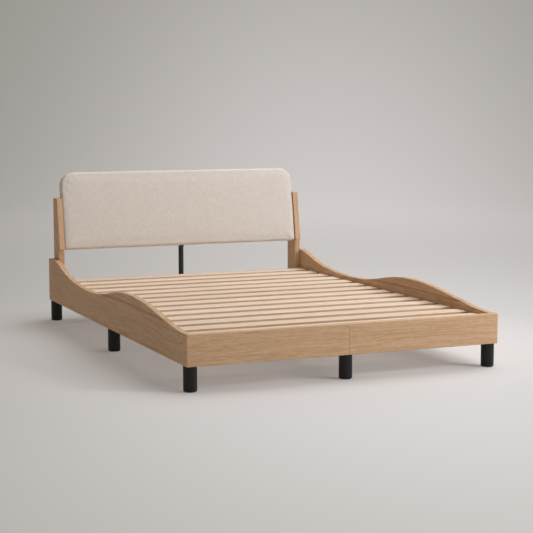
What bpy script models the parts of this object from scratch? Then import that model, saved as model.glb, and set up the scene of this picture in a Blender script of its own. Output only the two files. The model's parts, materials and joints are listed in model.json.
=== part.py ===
"""Wooden double bed: two wavy side rails, fourteen slats, nine legs and a padded headboard.

Metres. X runs across the bed, Y towards the head, Z up. The origin is on the floor under the
middle of the bed. Left is -X, as seen from the foot of the bed.
"""

from collections import namedtuple
from math import cos, pi, radians, sin, tan

import bmesh
import bpy
from mathutils import Vector

# Air between faces that touch, and how far a cutter runs past the face that it opens
GAP = 0.0003
OVERRUN = 0.004

# Points closer than this are one point
MERGE_DISTANCE = 0.00003

# The mattress that the frame holds
MATTRESS_WIDTH = 1.400
MATTRESS_LENGTH = 2.000
MATTRESS_SIDE_ROOM = 0.005
MATTRESS_END_ROOM = 0.001

# Legs: moulded cups, closed at the top, that stand on a rounded rim
LEG_HEIGHT = 0.107
LEG_DIAMETER = 0.058
LEG_WALL = 0.014
LEG_TOP_WALL = 0.012
LEG_RIM_OUTER_ROUNDING = 0.007
LEG_RIM_INNER_ROUNDING = 0.001
LEG_RIM_STEPS = 3
LEG_SIDE_MARGIN = 0.0005
LEG_END_MARGIN = 0.0095
LEG_STEPS = 20

# Rails
RAIL_THICKNESS = 0.030
RAIL_EDGE_RADIUS = 0.005
RAIL_FOOT_HEIGHT = 0.135
RAIL_TROUGH_HEIGHT = 0.139
RAIL_CREST_HEIGHT = 0.2025
RAIL_HEAD_HEIGHT = 0.224
RAIL_HEAD_FLAT = 0.100
RAIL_FOOT_FLAT = 0.028
TROUGH_FROM_HEAD = 0.737
CREST_FROM_HEAD = 1.410
WAVE_STEPS = 14
# Handle lengths of the wavy edge, as shares of the span between two of its points
DROP_HANDLE_SHARES = (0.197, 0.692)
RISE_HANDLE_SHARES = (0.490, 0.456)
FALL_HANDLE_SHARES = (0.402, 0.314)
HEAD_RAIL_HEIGHT = 0.095
HEAD_RAIL_EDGE_RADIUS = 0.002

# Slats, the ledges that carry their ends and the beam under their middles
SLAT_COUNT = 14
SLAT_WIDTH = 0.090
SLAT_THICKNESS = 0.020
SLAT_EDGE_CHAMFER = 0.003
SLAT_END_ROOM = 0.005
SLAT_FOOT_ROOM = 0.030
SLAT_HEAD_ROOM = 0.018
SLAT_TOP_BELOW_FOOT_RAIL = 0.016
LEDGE_WIDTH = 0.030
LEDGE_HEIGHT = 0.030
BEAM_WIDTH = 0.040
BEAM_HEIGHT = 0.050

# Wooden blocks that join the rails and stand on the legs
CORNER_BLOCK_SIZE = 0.045
SIDE_BLOCK_DEPTH = 0.045
SIDE_BLOCK_LENGTH = 0.064
JOINT_BLOCK_DEPTH = 0.040
JOINT_BLOCK_LENGTH = 0.180
BEAM_BLOCK_SIZE = 0.064

# Headboard posts with their leaning cheeks
HEADBOARD_DEPTH = 0.119
HEADBOARD_LEAN = radians(9.5)
POST_THICKNESS = 0.030
POST_DEPTH = 0.105
POST_SHOULDER_HEIGHT = 0.280
POST_EDGE_RADIUS = 0.002
CHEEK_PROUD = 0.010
CHEEK_DEPTH = 0.050
CHEEK_HEIGHT = 0.269

# Headboard panel: a plywood board with a padded, fabric-covered front
PANEL_HEIGHT = 0.415
PANEL_THICKNESS = 0.050
PANEL_BOTTOM_ABOVE_RAILS = 0.281
PANEL_SIDE_ROOM = 0.0005
PANEL_TOP_RADIUS = 0.070
PANEL_BOTTOM_RADIUS = 0.010
PANEL_EDGE_ROUNDING = 0.014
PANEL_EDGE_STEPS = 3
PANEL_TOP_CORNER_STEPS = 8
PANEL_BOTTOM_CORNER_STEPS = 3
PANEL_CROWN = 0.004
PANEL_CROWN_SHARES = (0.16, 0.36, 0.60, 0.84, 0.97)
BOARD_THICKNESS = 0.018
BOARD_INSET = 0.003
FABRIC_LAP = 0.0012

# Steel angles: flange widths and lengths
ANGLE_THICKNESS = 0.0025
ANGLE_BOARD_FLANGE = 0.030
ANGLE_POST_FLANGE = 0.026
ANGLE_LENGTH = 0.180
ANGLE_CENTRE_ABOVE_PANEL_BOTTOM = 0.130
RAIL_ANGLE_FLANGE = 0.030
RAIL_ANGLE_LENGTH = 0.060

# Support rod under the middle of the headboard panel
ROD_DIAMETER = 0.028
ROD_WALL = 0.002
ROD_TOP_WALL = 0.012
ROD_TOP_BELOW_PANEL = 0.011
ROD_STEPS = 16
ROD_FOOT_RIM_HEIGHT = 0.008
ROD_FOOT_CHAMFER = 0.003
ROD_FOOT_SPIGOT_HEIGHT = 0.012
ROD_PLATE_WIDTH = 0.026
ROD_PLATE_THICKNESS = 0.003
ROD_PLATE_LENGTH = 0.080
CLAMP_THICKNESS = 0.002
CLAMP_HEIGHT = 0.040
CLAMP_FLANGE = 0.022
CLAMP_ARC_STEPS = 8

# Bolts. A sunk head has its top below the face, another one stands on it.
Bolt = namedtuple("Bolt", "head_radius head_height shaft_radius length sunk")
CORNER_BOLT = Bolt(0.0050, 0.0050, 0.0030, 0.055, 0.0055)
POST_BOLT = Bolt(0.0065, 0.0035, 0.0030, 0.048, 0.0)
ROD_BOLT = Bolt(0.0050, 0.0035, 0.0030, 0.010, 0.0)
BOLT_STEPS = 12
CORNER_BOLT_FROM_FOOT_END = 0.054
CORNER_BOLT_HEIGHT = 0.093
POST_BOLT_FROM_HEAD_END = 0.022
POST_BOLT_HEIGHTS = (("lower", 0.036), ("upper", 0.080))

# Sizes that follow from the ones above
INNER_HALF_WIDTH = MATTRESS_WIDTH / 2 + MATTRESS_SIDE_ROOM
HALF_WIDTH = INNER_HALF_WIDTH + RAIL_THICKNESS
BED_LENGTH = RAIL_THICKNESS + MATTRESS_LENGTH + MATTRESS_END_ROOM + HEADBOARD_DEPTH
HEAD_END = BED_LENGTH / 2
FOOT_END = -HEAD_END
FOOT_RAIL_BACK = FOOT_END + RAIL_THICKNESS
RAIL_BOTTOM = LEG_HEIGHT
SLAT_TOP = RAIL_BOTTOM + RAIL_FOOT_HEIGHT - SLAT_TOP_BELOW_FOOT_RAIL
SLAT_BOTTOM = SLAT_TOP - SLAT_THICKNESS
LEDGE_TOP = SLAT_BOTTOM - GAP
LEDGE_BOTTOM = LEDGE_TOP - LEDGE_HEIGHT
LEDGE_INNER = INNER_HALF_WIDTH - LEDGE_WIDTH
BEAM_BOTTOM = LEDGE_TOP - BEAM_HEIGHT
POST_INNER = INNER_HALF_WIDTH - POST_THICKNESS
POST_FRONT = HEAD_END - POST_DEPTH
POST_SHOULDER = RAIL_BOTTOM + POST_SHOULDER_HEIGHT
HEAD_RAIL_FRONT = POST_FRONT
HEAD_RAIL_BACK = HEAD_RAIL_FRONT + RAIL_THICKNESS
CHEEK_FRONT = POST_FRONT - CHEEK_PROUD
CHEEK_TOP = POST_SHOULDER + CHEEK_HEIGHT
CHEEK_SHIFT = CHEEK_HEIGHT * tan(HEADBOARD_LEAN)
LEG_RADIUS = LEG_DIAMETER / 2
LEG_SIDE_X = HALF_WIDTH - LEG_SIDE_MARGIN - LEG_RADIUS
LEG_END_Y = HEAD_END - LEG_END_MARGIN - LEG_RADIUS
HEAD_MIDDLE_LEG_Y = HEAD_RAIL_BACK - LEG_END_MARGIN - LEG_RADIUS
PANEL_FRONT = HEAD_END - HEADBOARD_DEPTH
PANEL_BOTTOM = RAIL_BOTTOM + PANEL_BOTTOM_ABOVE_RAILS
PANEL_HALF_WIDTH = POST_INNER - PANEL_SIDE_ROOM
PANEL_BACK_BOTTOM = PANEL_BOTTOM - PANEL_THICKNESS * sin(HEADBOARD_LEAN)
ANGLE_FACE = PANEL_THICKNESS + FABRIC_LAP + GAP
ROD_RADIUS = ROD_DIAMETER / 2
ROD_Y = HEAD_RAIL_BACK + GAP + ROD_RADIUS
ROD_TOP = PANEL_BACK_BOTTOM - ROD_TOP_BELOW_PANEL
CUTTER_TOP = RAIL_BOTTOM + RAIL_FOOT_HEIGHT + RAIL_CREST_HEIGHT

OAK = (0.600, 0.420, 0.262)
PINE = (0.760, 0.620, 0.450)
PLYWOOD = (0.660, 0.500, 0.330)
FABRIC = (0.690, 0.640, 0.570)
BLACK_PLASTIC = (0.016, 0.016, 0.017)
BLACK_STEEL = (0.020, 0.020, 0.022)

# Turns an outline drawn in its own XY plane into the bed's YZ plane or XZ plane
OUTLINE_TO_YZ = (pi / 2, 0, pi / 2)
OUTLINE_TO_XZ = (pi / 2, 0, 0)
SIDES = (("left", -1), ("right", 1))


def clear_scene():
    """Remove every object that the file opened with."""
    for obj in list(bpy.data.objects):
        bpy.data.objects.remove(obj, do_unlink=True)


def make_collection(name):
    """Add a collection to the scene and return it."""
    collection = bpy.data.collections.new(name)
    bpy.context.scene.collection.children.link(collection)
    return collection


def make_material(name, colour, roughness, metallic=0.0):
    """Return a Principled material of one colour."""
    material = bpy.data.materials.new(name)
    material.use_nodes = True
    shader = material.node_tree.nodes["Principled BSDF"]
    shader.inputs["Base Color"].default_value = (*colour, 1.0)
    shader.inputs["Roughness"].default_value = roughness
    shader.inputs["Metallic"].default_value = metallic
    material.diffuse_color = (*colour, 1.0)
    return material


clear_scene()
BED = make_collection("wooden_double_bed")
CUTTERS = make_collection("cutters")
oak = make_material("oak", OAK, 0.55)
pine = make_material("pine", PINE, 0.60)
plywood = make_material("plywood", PLYWOOD, 0.65)
fabric = make_material("woven_fabric", FABRIC, 0.95)
black_plastic = make_material("black_plastic", BLACK_PLASTIC, 0.45)
black_steel = make_material("black_steel", BLACK_STEEL, 0.40, 0.6)


def add_piece(name, mesh, material, parent=None):
    """Add a mesh as a named piece of the bed."""
    piece = bpy.data.objects.new(name, mesh)
    BED.objects.link(piece)
    mesh.materials.clear()
    mesh.materials.append(material)
    piece.parent = parent
    return piece


def add_cutter(name, mesh):
    """Add a mesh that only cuts other pieces."""
    cutter = bpy.data.objects.new(name, mesh)
    CUTTERS.objects.link(cutter)
    cutter.hide_render = True
    cutter.display_type = "WIRE"
    return cutter


def cut(piece, *cutters):
    """Take the cutters' shapes out of a piece."""
    for cutter in cutters:
        boolean = piece.modifiers.new(cutter.name, "BOOLEAN")
        boolean.operation = "DIFFERENCE"
        boolean.solver = "EXACT"
        boolean.object = cutter


def evaluated_mesh(obj):
    """Return the object's mesh as its modifiers leave it, and remove the object."""
    bpy.context.view_layer.update()
    graph = bpy.context.evaluated_depsgraph_get()
    mesh = bpy.data.meshes.new_from_object(obj.evaluated_get(graph))
    bpy.data.objects.remove(obj, do_unlink=True)
    return mesh


def box_mesh(name, low, high):
    """Return a box between its low and its high corner."""
    size = [top - bottom for bottom, top in zip(low, high)]
    centre = [(top + bottom) / 2 for bottom, top in zip(low, high)]
    shape = bmesh.new()
    bmesh.ops.create_cube(shape, size=1)
    bmesh.ops.scale(shape, vec=size, verts=shape.verts)
    bmesh.ops.translate(shape, vec=centre, verts=shape.verts)
    mesh = bpy.data.meshes.new(name)
    shape.to_mesh(mesh)
    shape.free()
    return mesh


def outline_mesh(name, points, thickness, edge_radius, edge_steps=1):
    """Return a board cut to an outline, with its long edges rounded.

    Each point is ((x, y), left handle, right handle). A handle of None is a sharp corner.
    """
    curve = bpy.data.curves.new(name, "CURVE")
    curve.dimensions = "2D"
    curve.fill_mode = "BOTH"
    curve.resolution_u = WAVE_STEPS
    curve.extrude = thickness / 2 - edge_radius
    curve.bevel_depth = edge_radius
    curve.bevel_resolution = edge_steps
    curve.offset = -edge_radius
    smooth = any(left or right for _, left, right in points)
    spline = curve.splines.new("BEZIER" if smooth else "POLY")
    spline.use_cyclic_u = True
    if smooth:
        spline.bezier_points.add(len(points) - 1)
        for knot, (place, left, right) in zip(spline.bezier_points, points):
            knot.co = (*place, 0)
            knot.handle_left_type = "FREE" if left else "VECTOR"
            knot.handle_right_type = "FREE" if right else "VECTOR"
            knot.handle_left = (*(left or place), 0)
            knot.handle_right = (*(right or place), 0)
    else:
        spline.points.add(len(points) - 1)
        for knot, (place, _, _) in zip(spline.points, points):
            knot.co = (*place, 0, 1)
    drawn = bpy.data.objects.new(name, curve)
    BED.objects.link(drawn)
    mesh = evaluated_mesh(drawn)
    shape = bmesh.new()
    shape.from_mesh(mesh)
    bmesh.ops.remove_doubles(shape, verts=shape.verts, dist=MERGE_DISTANCE)
    bmesh.ops.recalc_face_normals(shape, faces=shape.faces)
    shape.to_mesh(mesh)
    shape.free()
    return mesh


def sharp(points):
    """Return outline points without handles."""
    return [(point, None, None) for point in points]


def turned_mesh(name, profile, steps):
    """Return the solid that a profile turns around the Z axis.

    The profile is (radius, height) points, down the outer side from top to bottom.
    """
    line = bpy.data.meshes.new(name)
    edges = [(index, index + 1) for index in range(len(profile) - 1)]
    line.from_pydata([(radius, 0, height) for radius, height in profile], edges, [])
    turned = bpy.data.objects.new(name, line)
    BED.objects.link(turned)
    screw = turned.modifiers.new("turn", "SCREW")
    screw.steps = steps
    screw.render_steps = steps
    screw.use_merge_vertices = True
    screw.merge_threshold = MERGE_DISTANCE
    mesh = evaluated_mesh(turned)
    shape = bmesh.new()
    shape.from_mesh(mesh)
    bmesh.ops.remove_doubles(shape, verts=shape.verts, dist=MERGE_DISTANCE)
    bmesh.ops.recalc_face_normals(shape, faces=shape.faces)
    shape.to_mesh(mesh)
    shape.free()
    return mesh


def bolt_profile(bolt):
    """Return the turned profile of a bolt whose face is at height zero."""
    top = -bolt.sunk if bolt.sunk else bolt.head_height + GAP
    under_head = top - bolt.head_height
    return [
        (0, top),
        (bolt.head_radius, top),
        (bolt.head_radius, under_head),
        (bolt.shaft_radius, under_head),
        (bolt.shaft_radius, -bolt.length),
        (0, -bolt.length),
    ]


def hole_profile(bolt):
    """Return the profile of the hole that takes a bolt with a gap all round."""
    bore = bolt.shaft_radius + GAP
    end = -bolt.length - GAP
    if not bolt.sunk:
        return [(0, OVERRUN), (bore, OVERRUN), (bore, end), (0, end)]
    seat = bolt.head_radius + GAP
    under_head = -bolt.sunk - bolt.head_height - GAP
    outer = [(0, OVERRUN), (seat, OVERRUN), (seat, under_head)]
    return outer + [(bore, under_head), (bore, end), (0, end)]


def add_bolt(name, bolt, location, direction, *pieces):
    """Add a bolt that points along a direction, and its hole in each piece that it passes."""
    turn = Vector(direction).to_track_quat("-Z", "Y").to_euler()
    solid = add_piece(name, turned_mesh(name, bolt_profile(bolt), BOLT_STEPS), black_steel)
    bore = turned_mesh(name + "_hole", hole_profile(bolt), BOLT_STEPS)
    hole = add_cutter(name + "_hole", bore)
    for placed in (solid, hole):
        placed.location = location
        placed.rotation_euler = turn
    for piece in pieces:
        cut(piece, hole)


def slat_centres():
    """Return the Y of each slat's middle, from the head to the foot."""
    first = HEAD_RAIL_FRONT - SLAT_HEAD_ROOM - SLAT_WIDTH / 2
    last = FOOT_RAIL_BACK + SLAT_FOOT_ROOM + SLAT_WIDTH / 2
    pitch = (first - last) / (SLAT_COUNT - 1)
    return [first - pitch * index for index in range(SLAT_COUNT)]


def leg_places():
    """Return each leg's name with its X and Y."""
    rows = (
        ("foot", -LEG_END_Y, -LEG_END_Y),
        ("middle", 0, 0),
        ("head", LEG_END_Y, HEAD_MIDDLE_LEG_Y),
    )
    places = []
    for row, side_y, centre_y in rows:
        places.append((row + "_left", -LEG_SIDE_X, side_y))
        places.append((row + "_centre", 0, centre_y))
        places.append((row + "_right", LEG_SIDE_X, side_y))
    return places


# The panel, its board and what is fixed to them are drawn upright and leaned by one empty
panel_frame = bpy.data.objects.new("headboard_frame", None)
BED.objects.link(panel_frame)
panel_frame.location = (0, PANEL_FRONT, PANEL_BOTTOM)
panel_frame.rotation_euler = (-HEADBOARD_LEAN, 0, 0)


def build_side_rails():
    """Side rails: one wavy outline, mitred where it meets the foot rail."""
    bottom = RAIL_BOTTOM
    head = (HEAD_END - RAIL_HEAD_FLAT, bottom + RAIL_HEAD_HEIGHT)
    trough = (HEAD_END - TROUGH_FROM_HEAD, bottom + RAIL_TROUGH_HEIGHT)
    crest = (HEAD_END - CREST_FROM_HEAD, bottom + RAIL_CREST_HEIGHT)
    foot = (FOOT_END + RAIL_FOOT_FLAT, bottom + RAIL_FOOT_HEIGHT)

    def handles(start, end, shares):
        span = start[0] - end[0]
        return (start[0] - shares[0] * span, start[1]), (end[0] + shares[1] * span, end[1])

    drop_out, drop_in = handles(head, trough, DROP_HANDLE_SHARES)
    rise_out, rise_in = handles(trough, crest, RISE_HANDLE_SHARES)
    fall_out, fall_in = handles(crest, foot, FALL_HANDLE_SHARES)
    outline = [
        ((FOOT_END, bottom), None, None),
        ((HEAD_END, bottom), None, None),
        ((HEAD_END, head[1]), None, None),
        (head, None, drop_out),
        (trough, drop_in, rise_out),
        (crest, rise_in, fall_out),
        (foot, fall_in, None),
        ((FOOT_END, foot[1]), None, None),
    ]
    for name, side in SIDES:
        mesh = outline_mesh("side_rail_" + name, outline, RAIL_THICKNESS, RAIL_EDGE_RADIUS)
        rail = add_piece("side_rail_" + name, mesh, oak)
        rail.location = (side * (HALF_WIDTH - RAIL_THICKNESS / 2), 0, 0)
        rail.rotation_euler = OUTLINE_TO_YZ
        cut(rail, mitre_cutter("side_mitre_" + name, side, 1))


def mitre_cutter(name, side, keep):
    """Return a cutter along a foot corner's diagonal.

    keep is 1 for the cutter that leaves the side rail, and -1 for the one that leaves the foot rail.
    """
    reach = 4 * RAIL_THICKNESS
    middle = -keep * (reach - GAP) / 2
    low = (-reach, middle - reach / 2, 0)
    high = (reach, middle + reach / 2, CUTTER_TOP)
    cutter = add_cutter(name, box_mesh(name, low, high))
    cutter.rotation_euler = (0, 0, -side * pi / 4)
    cutter.location = (side * HALF_WIDTH, FOOT_END, 0)
    return cutter


def seam_cutter(name, side, front, back):
    """Return a cutter that takes what a half rail has past the middle of the bed."""
    low = (min(-side * HALF_WIDTH, side * GAP / 2), front - OVERRUN, 0)
    high = (max(-side * HALF_WIDTH, side * GAP / 2), back + OVERRUN, CUTTER_TOP)
    return add_cutter(name, box_mesh(name, low, high))


def half_rail(name, side, outer, front, height, edge_radius):
    """Add one half of a rail that crosses the bed, from its outer end to the middle."""
    past_seam = -side * 2 * edge_radius
    ends = sorted((side * outer, past_seam))
    corners = [(ends[0], 0), (ends[1], 0), (ends[1], height), (ends[0], height)]
    mesh = outline_mesh(name, sharp(corners), RAIL_THICKNESS, edge_radius)
    rail = add_piece(name, mesh, oak)
    rail.location = (0, front + RAIL_THICKNESS / 2, RAIL_BOTTOM)
    rail.rotation_euler = OUTLINE_TO_XZ
    cut(rail, seam_cutter(name + "_seam", side, front, front + RAIL_THICKNESS))
    return rail


def build_cross_rails():
    """Foot rail and head rail, each in two halves that meet in the middle of the bed."""
    head_reach = POST_INNER - GAP
    foot_section = (FOOT_END, RAIL_FOOT_HEIGHT, RAIL_EDGE_RADIUS)
    head_section = (HEAD_RAIL_FRONT, HEAD_RAIL_HEIGHT, HEAD_RAIL_EDGE_RADIUS)
    for name, side in SIDES:
        foot = half_rail("foot_rail_" + name, side, HALF_WIDTH, *foot_section)
        cut(foot, mitre_cutter("foot_mitre_" + name, side, -1))
        half_rail("head_rail_" + name, side, head_reach, *head_section)


def add_block(name, low, high):
    """Add a sawn pine block between two corners."""
    return add_piece(name, box_mesh(name, low, high), pine)


def on_side(side, inner, outer, low_y, high_y, low_z, high_z):
    """Return the corners of a piece that lies between two distances from the bed's middle plane."""
    low_x, high_x = sorted((side * inner, side * outer))
    return (low_x, low_y, low_z), (high_x, high_y, high_z)


def build_blocks():
    """Blocks inside the frame: foot corners, middle of each side, rail joints, under the beam."""
    bottom = RAIL_BOTTOM + GAP
    outer = INNER_HALF_WIDTH - GAP
    front = FOOT_RAIL_BACK + GAP
    back = front + CORNER_BLOCK_SIZE
    reach = SIDE_BLOCK_LENGTH / 2
    side_top = LEDGE_BOTTOM - GAP
    for name, side in SIDES:
        corner = on_side(side, outer - CORNER_BLOCK_SIZE, outer, front, back, bottom, LEDGE_TOP)
        add_block("corner_block_" + name, *corner)
        middle = on_side(side, outer - SIDE_BLOCK_DEPTH, outer, -reach, reach, bottom, side_top)
        add_block("side_block_" + name, *middle)
    reach = JOINT_BLOCK_LENGTH / 2
    top = BEAM_BOTTOM - GAP
    head = HEAD_RAIL_FRONT - GAP
    add_block("joint_block_foot", (-reach, front, bottom), (reach, front + JOINT_BLOCK_DEPTH, top))
    add_block("joint_block_head", (-reach, head - JOINT_BLOCK_DEPTH, bottom), (reach, head, top))
    reach = BEAM_BLOCK_SIZE / 2
    add_block("beam_block", (-reach, -reach, bottom), (reach, reach, top))


def build_slat_support():
    """Ledges along the side rails and the beam down the middle."""
    outer = INNER_HALF_WIDTH - GAP
    front = FOOT_RAIL_BACK + 2 * GAP + CORNER_BLOCK_SIZE
    back = POST_FRONT - GAP
    for name, side in SIDES:
        ledge = on_side(side, LEDGE_INNER, outer, front, back, LEDGE_BOTTOM, LEDGE_TOP)
        add_block("slat_ledge_" + name, *ledge)
    half = BEAM_WIDTH / 2
    add_block("centre_beam", (-half, front - CORNER_BLOCK_SIZE, BEAM_BOTTOM), (half, back, LEDGE_TOP))


def build_slats():
    """Fourteen loose slats, screwed down at both ends."""
    half = INNER_HALF_WIDTH - SLAT_END_ROOM
    low = (-half, -SLAT_WIDTH / 2, SLAT_BOTTOM)
    high = (half, SLAT_WIDTH / 2, SLAT_TOP)
    board = box_mesh("slat", low, high)
    for index, y in enumerate(slat_centres(), start=1):
        slat = add_piece(f"slat_{index:02d}", board, pine)
        slat.location = (0, y, 0)
        chamfer = slat.modifiers.new("chamfer", "BEVEL")
        chamfer.width = SLAT_EDGE_CHAMFER
        chamfer.segments = 1


def build_legs():
    """Nine legs under the rails, the beam and the blocks."""
    top = LEG_HEIGHT - GAP
    bore = LEG_RADIUS - LEG_WALL
    ceiling = top - LEG_TOP_WALL
    turns = [pi / 2 * step / LEG_RIM_STEPS for step in range(LEG_RIM_STEPS + 1)]
    reach = LEG_RIM_OUTER_ROUNDING
    rounding = [(LEG_RADIUS - reach * (1 - cos(turn)), reach * (1 - sin(turn))) for turn in turns]
    profile = [(0, top), (LEG_RADIUS, top)] + rounding
    profile += [(bore + LEG_RIM_INNER_ROUNDING, 0), (bore, LEG_RIM_INNER_ROUNDING)]
    profile += [(bore, ceiling), (0, ceiling)]
    body = turned_mesh("leg", profile, LEG_STEPS)
    for name, x, y in leg_places():
        leg = add_piece("leg_" + name, body, black_plastic)
        leg.location = (x, y, 0)


def build_posts():
    """Headboard posts and the leaning cheeks that stand on their shoulders."""
    joint = CHEEK_FRONT + CHEEK_DEPTH
    shoulder = POST_SHOULDER - GAP
    bottom = RAIL_BOTTOM + GAP
    post = [
        (POST_FRONT, bottom),
        (HEAD_END, bottom),
        (HEAD_END, CHEEK_TOP),
        (joint + CHEEK_SHIFT + GAP, CHEEK_TOP),
        (joint + GAP, shoulder),
        (POST_FRONT, shoulder),
    ]
    cheek = [
        (CHEEK_FRONT, POST_SHOULDER),
        (joint, POST_SHOULDER),
        (joint + CHEEK_SHIFT, CHEEK_TOP),
        (CHEEK_FRONT + CHEEK_SHIFT, CHEEK_TOP),
    ]
    thickness = POST_THICKNESS - GAP
    x = INNER_HALF_WIDTH - GAP - thickness / 2
    for name, side in SIDES:
        for piece_name, outline in (("headboard_post_", post), ("headboard_cheek_", cheek)):
            mesh = outline_mesh(piece_name + name, sharp(outline), thickness, POST_EDGE_RADIUS, 0)
            piece = add_piece(piece_name + name, mesh, oak)
            piece.location = (side * x, 0, 0)
            piece.rotation_euler = OUTLINE_TO_YZ


def corner_points(centre_x, centre_z, radius, first_angle, steps):
    """Return the points of one quarter turn."""
    angles = [first_angle + pi / 2 * index / steps for index in range(steps + 1)]
    return [(centre_x + radius * cos(angle), centre_z + radius * sin(angle)) for angle in angles]


def panel_ring(inset):
    """Return the panel's outline, moved in by an inset, from the bottom right corner round."""
    half = PANEL_HALF_WIDTH - inset
    low, high = inset, PANEL_HEIGHT - inset
    room = (high - low) / 2
    top = min(max(PANEL_TOP_RADIUS - inset, PANEL_BOTTOM_RADIUS), room)
    bottom = min(max(PANEL_BOTTOM_RADIUS - inset, PANEL_BOTTOM_RADIUS / 2), room)
    ring = corner_points(half - bottom, low + bottom, bottom, -pi / 2, PANEL_BOTTOM_CORNER_STEPS)
    ring += corner_points(half - top, high - top, top, 0, PANEL_TOP_CORNER_STEPS)
    ring += corner_points(top - half, high - top, top, pi / 2, PANEL_TOP_CORNER_STEPS)
    ring += corner_points(bottom - half, low + bottom, bottom, pi, PANEL_BOTTOM_CORNER_STEPS)
    return ring


def panel_loft(name, stations):
    """Return the solid through panel outlines at (inset, depth) stations, closed at both ends."""
    shape = bmesh.new()
    rings = []
    for inset, depth in stations:
        rings.append([shape.verts.new((x, depth, z)) for x, z in panel_ring(inset)])
    for lower, upper in zip(rings, rings[1:]):
        count = len(lower)
        for index in range(count):
            following = (index + 1) % count
            shape.faces.new((lower[index], lower[following], upper[following], upper[index]))
    shape.faces.new(rings[0])
    shape.faces.new(rings[-1])
    bmesh.ops.remove_doubles(shape, verts=shape.verts, dist=MERGE_DISTANCE)
    bmesh.ops.recalc_face_normals(shape, faces=shape.faces)
    mesh = bpy.data.meshes.new(name)
    shape.to_mesh(mesh)
    shape.free()
    return mesh


def build_panel():
    """Headboard panel: a crowned pad in front and the plywood board behind it."""
    back = PANEL_THICKNESS - BOARD_THICKNESS
    stations = [(0, back - GAP), (0, PANEL_CROWN + PANEL_EDGE_ROUNDING)]
    for step in range(1, PANEL_EDGE_STEPS + 1):
        angle = pi / 2 * step / PANEL_EDGE_STEPS
        depth = PANEL_CROWN + PANEL_EDGE_ROUNDING * (1 - sin(angle))
        stations.append((PANEL_EDGE_ROUNDING * (1 - cos(angle)), depth))
    run = PANEL_HEIGHT / 2 - PANEL_EDGE_ROUNDING
    for share in PANEL_CROWN_SHARES:
        depth = PANEL_CROWN * (1 - sin(pi / 2 * share))
        stations.append((PANEL_EDGE_ROUNDING + share * run, depth))
    add_piece("headboard_pad", panel_loft("headboard_pad", stations), fabric, panel_frame)
    sheet = panel_loft("headboard_board", [(BOARD_INSET, back), (BOARD_INSET, PANEL_THICKNESS)])
    add_piece("headboard_board", sheet, plywood, panel_frame)


def angle_points(side, corner_y, cross_flange, post_flange):
    """Return an angle's section, its corner where a cross piece meets a post."""
    corner_x = POST_INNER - GAP
    inner_x = corner_x - ANGLE_THICKNESS
    points = [
        (corner_x - cross_flange, corner_y),
        (corner_x, corner_y),
        (corner_x, corner_y + post_flange),
        (inner_x, corner_y + post_flange),
        (inner_x, corner_y + ANGLE_THICKNESS),
        (corner_x - cross_flange, corner_y + ANGLE_THICKNESS),
    ]
    return sharp([(side * x, y) for x, y in points])


def build_angles():
    """Steel angles: a long one beside the panel and a short one behind the head rail, each side."""
    rail_y = HEAD_RAIL_BACK + GAP
    rail_z = RAIL_BOTTOM + HEAD_RAIL_HEIGHT / 2
    for name, side in SIDES:
        section = angle_points(side, ANGLE_FACE, ANGLE_BOARD_FLANGE, ANGLE_POST_FLANGE)
        mesh = outline_mesh("panel_angle_" + name, section, ANGLE_LENGTH, 0)
        angle = add_piece("panel_angle_" + name, mesh, black_steel, panel_frame)
        angle.location = (0, 0, ANGLE_CENTRE_ABOVE_PANEL_BOTTOM)
        section = angle_points(side, rail_y, RAIL_ANGLE_FLANGE, RAIL_ANGLE_FLANGE)
        mesh = outline_mesh("head_rail_angle_" + name, section, RAIL_ANGLE_LENGTH, 0)
        add_piece("head_rail_angle_" + name, mesh, black_steel).location = (0, 0, rail_z)


def clamp_points():
    """Return the section of the strap that holds the rod against the head rail."""
    inner = ROD_RADIUS + GAP
    outer = inner + CLAMP_THICKNESS
    front = HEAD_RAIL_BACK + GAP
    back = front + CLAMP_THICKNESS
    reach = outer + CLAMP_FLANGE
    angles = [pi * index / CLAMP_ARC_STEPS for index in range(CLAMP_ARC_STEPS + 1)]
    points = [(inner, front), (reach, front), (reach, back), (outer, back)]
    points += [(outer * cos(angle), ROD_Y + outer * sin(angle)) for angle in angles]
    points += [(-outer, back), (-reach, back), (-reach, front), (-inner, front)]
    points += [(inner * cos(angle), ROD_Y + inner * sin(angle)) for angle in reversed(angles)]
    return sharp(points)


def rod_plate_points():
    """Return the section of the bent plate between the rod's top and the board."""
    lean_y, lean_z = sin(HEADBOARD_LEAN), cos(HEADBOARD_LEAN)
    face_y = PANEL_FRONT + ANGLE_FACE * lean_z
    face_z = PANEL_BOTTOM - ANGLE_FACE * lean_y
    foot = ROD_TOP + GAP
    foot_top = foot + ROD_PLATE_THICKNESS
    front_at_foot = face_y - (face_z - foot) * tan(HEADBOARD_LEAN)
    back_at_foot = face_y + ROD_PLATE_THICKNESS / lean_z - (face_z - foot_top) * tan(HEADBOARD_LEAN)
    top = (face_y + ROD_PLATE_LENGTH * lean_y, face_z + ROD_PLATE_LENGTH * lean_z)
    return sharp([
        (front_at_foot, foot),
        (ROD_Y + ROD_RADIUS, foot),
        (ROD_Y + ROD_RADIUS, foot_top),
        (back_at_foot, foot_top),
        (top[0] + ROD_PLATE_THICKNESS * lean_z, top[1] - ROD_PLATE_THICKNESS * lean_y),
        top,
    ])


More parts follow.
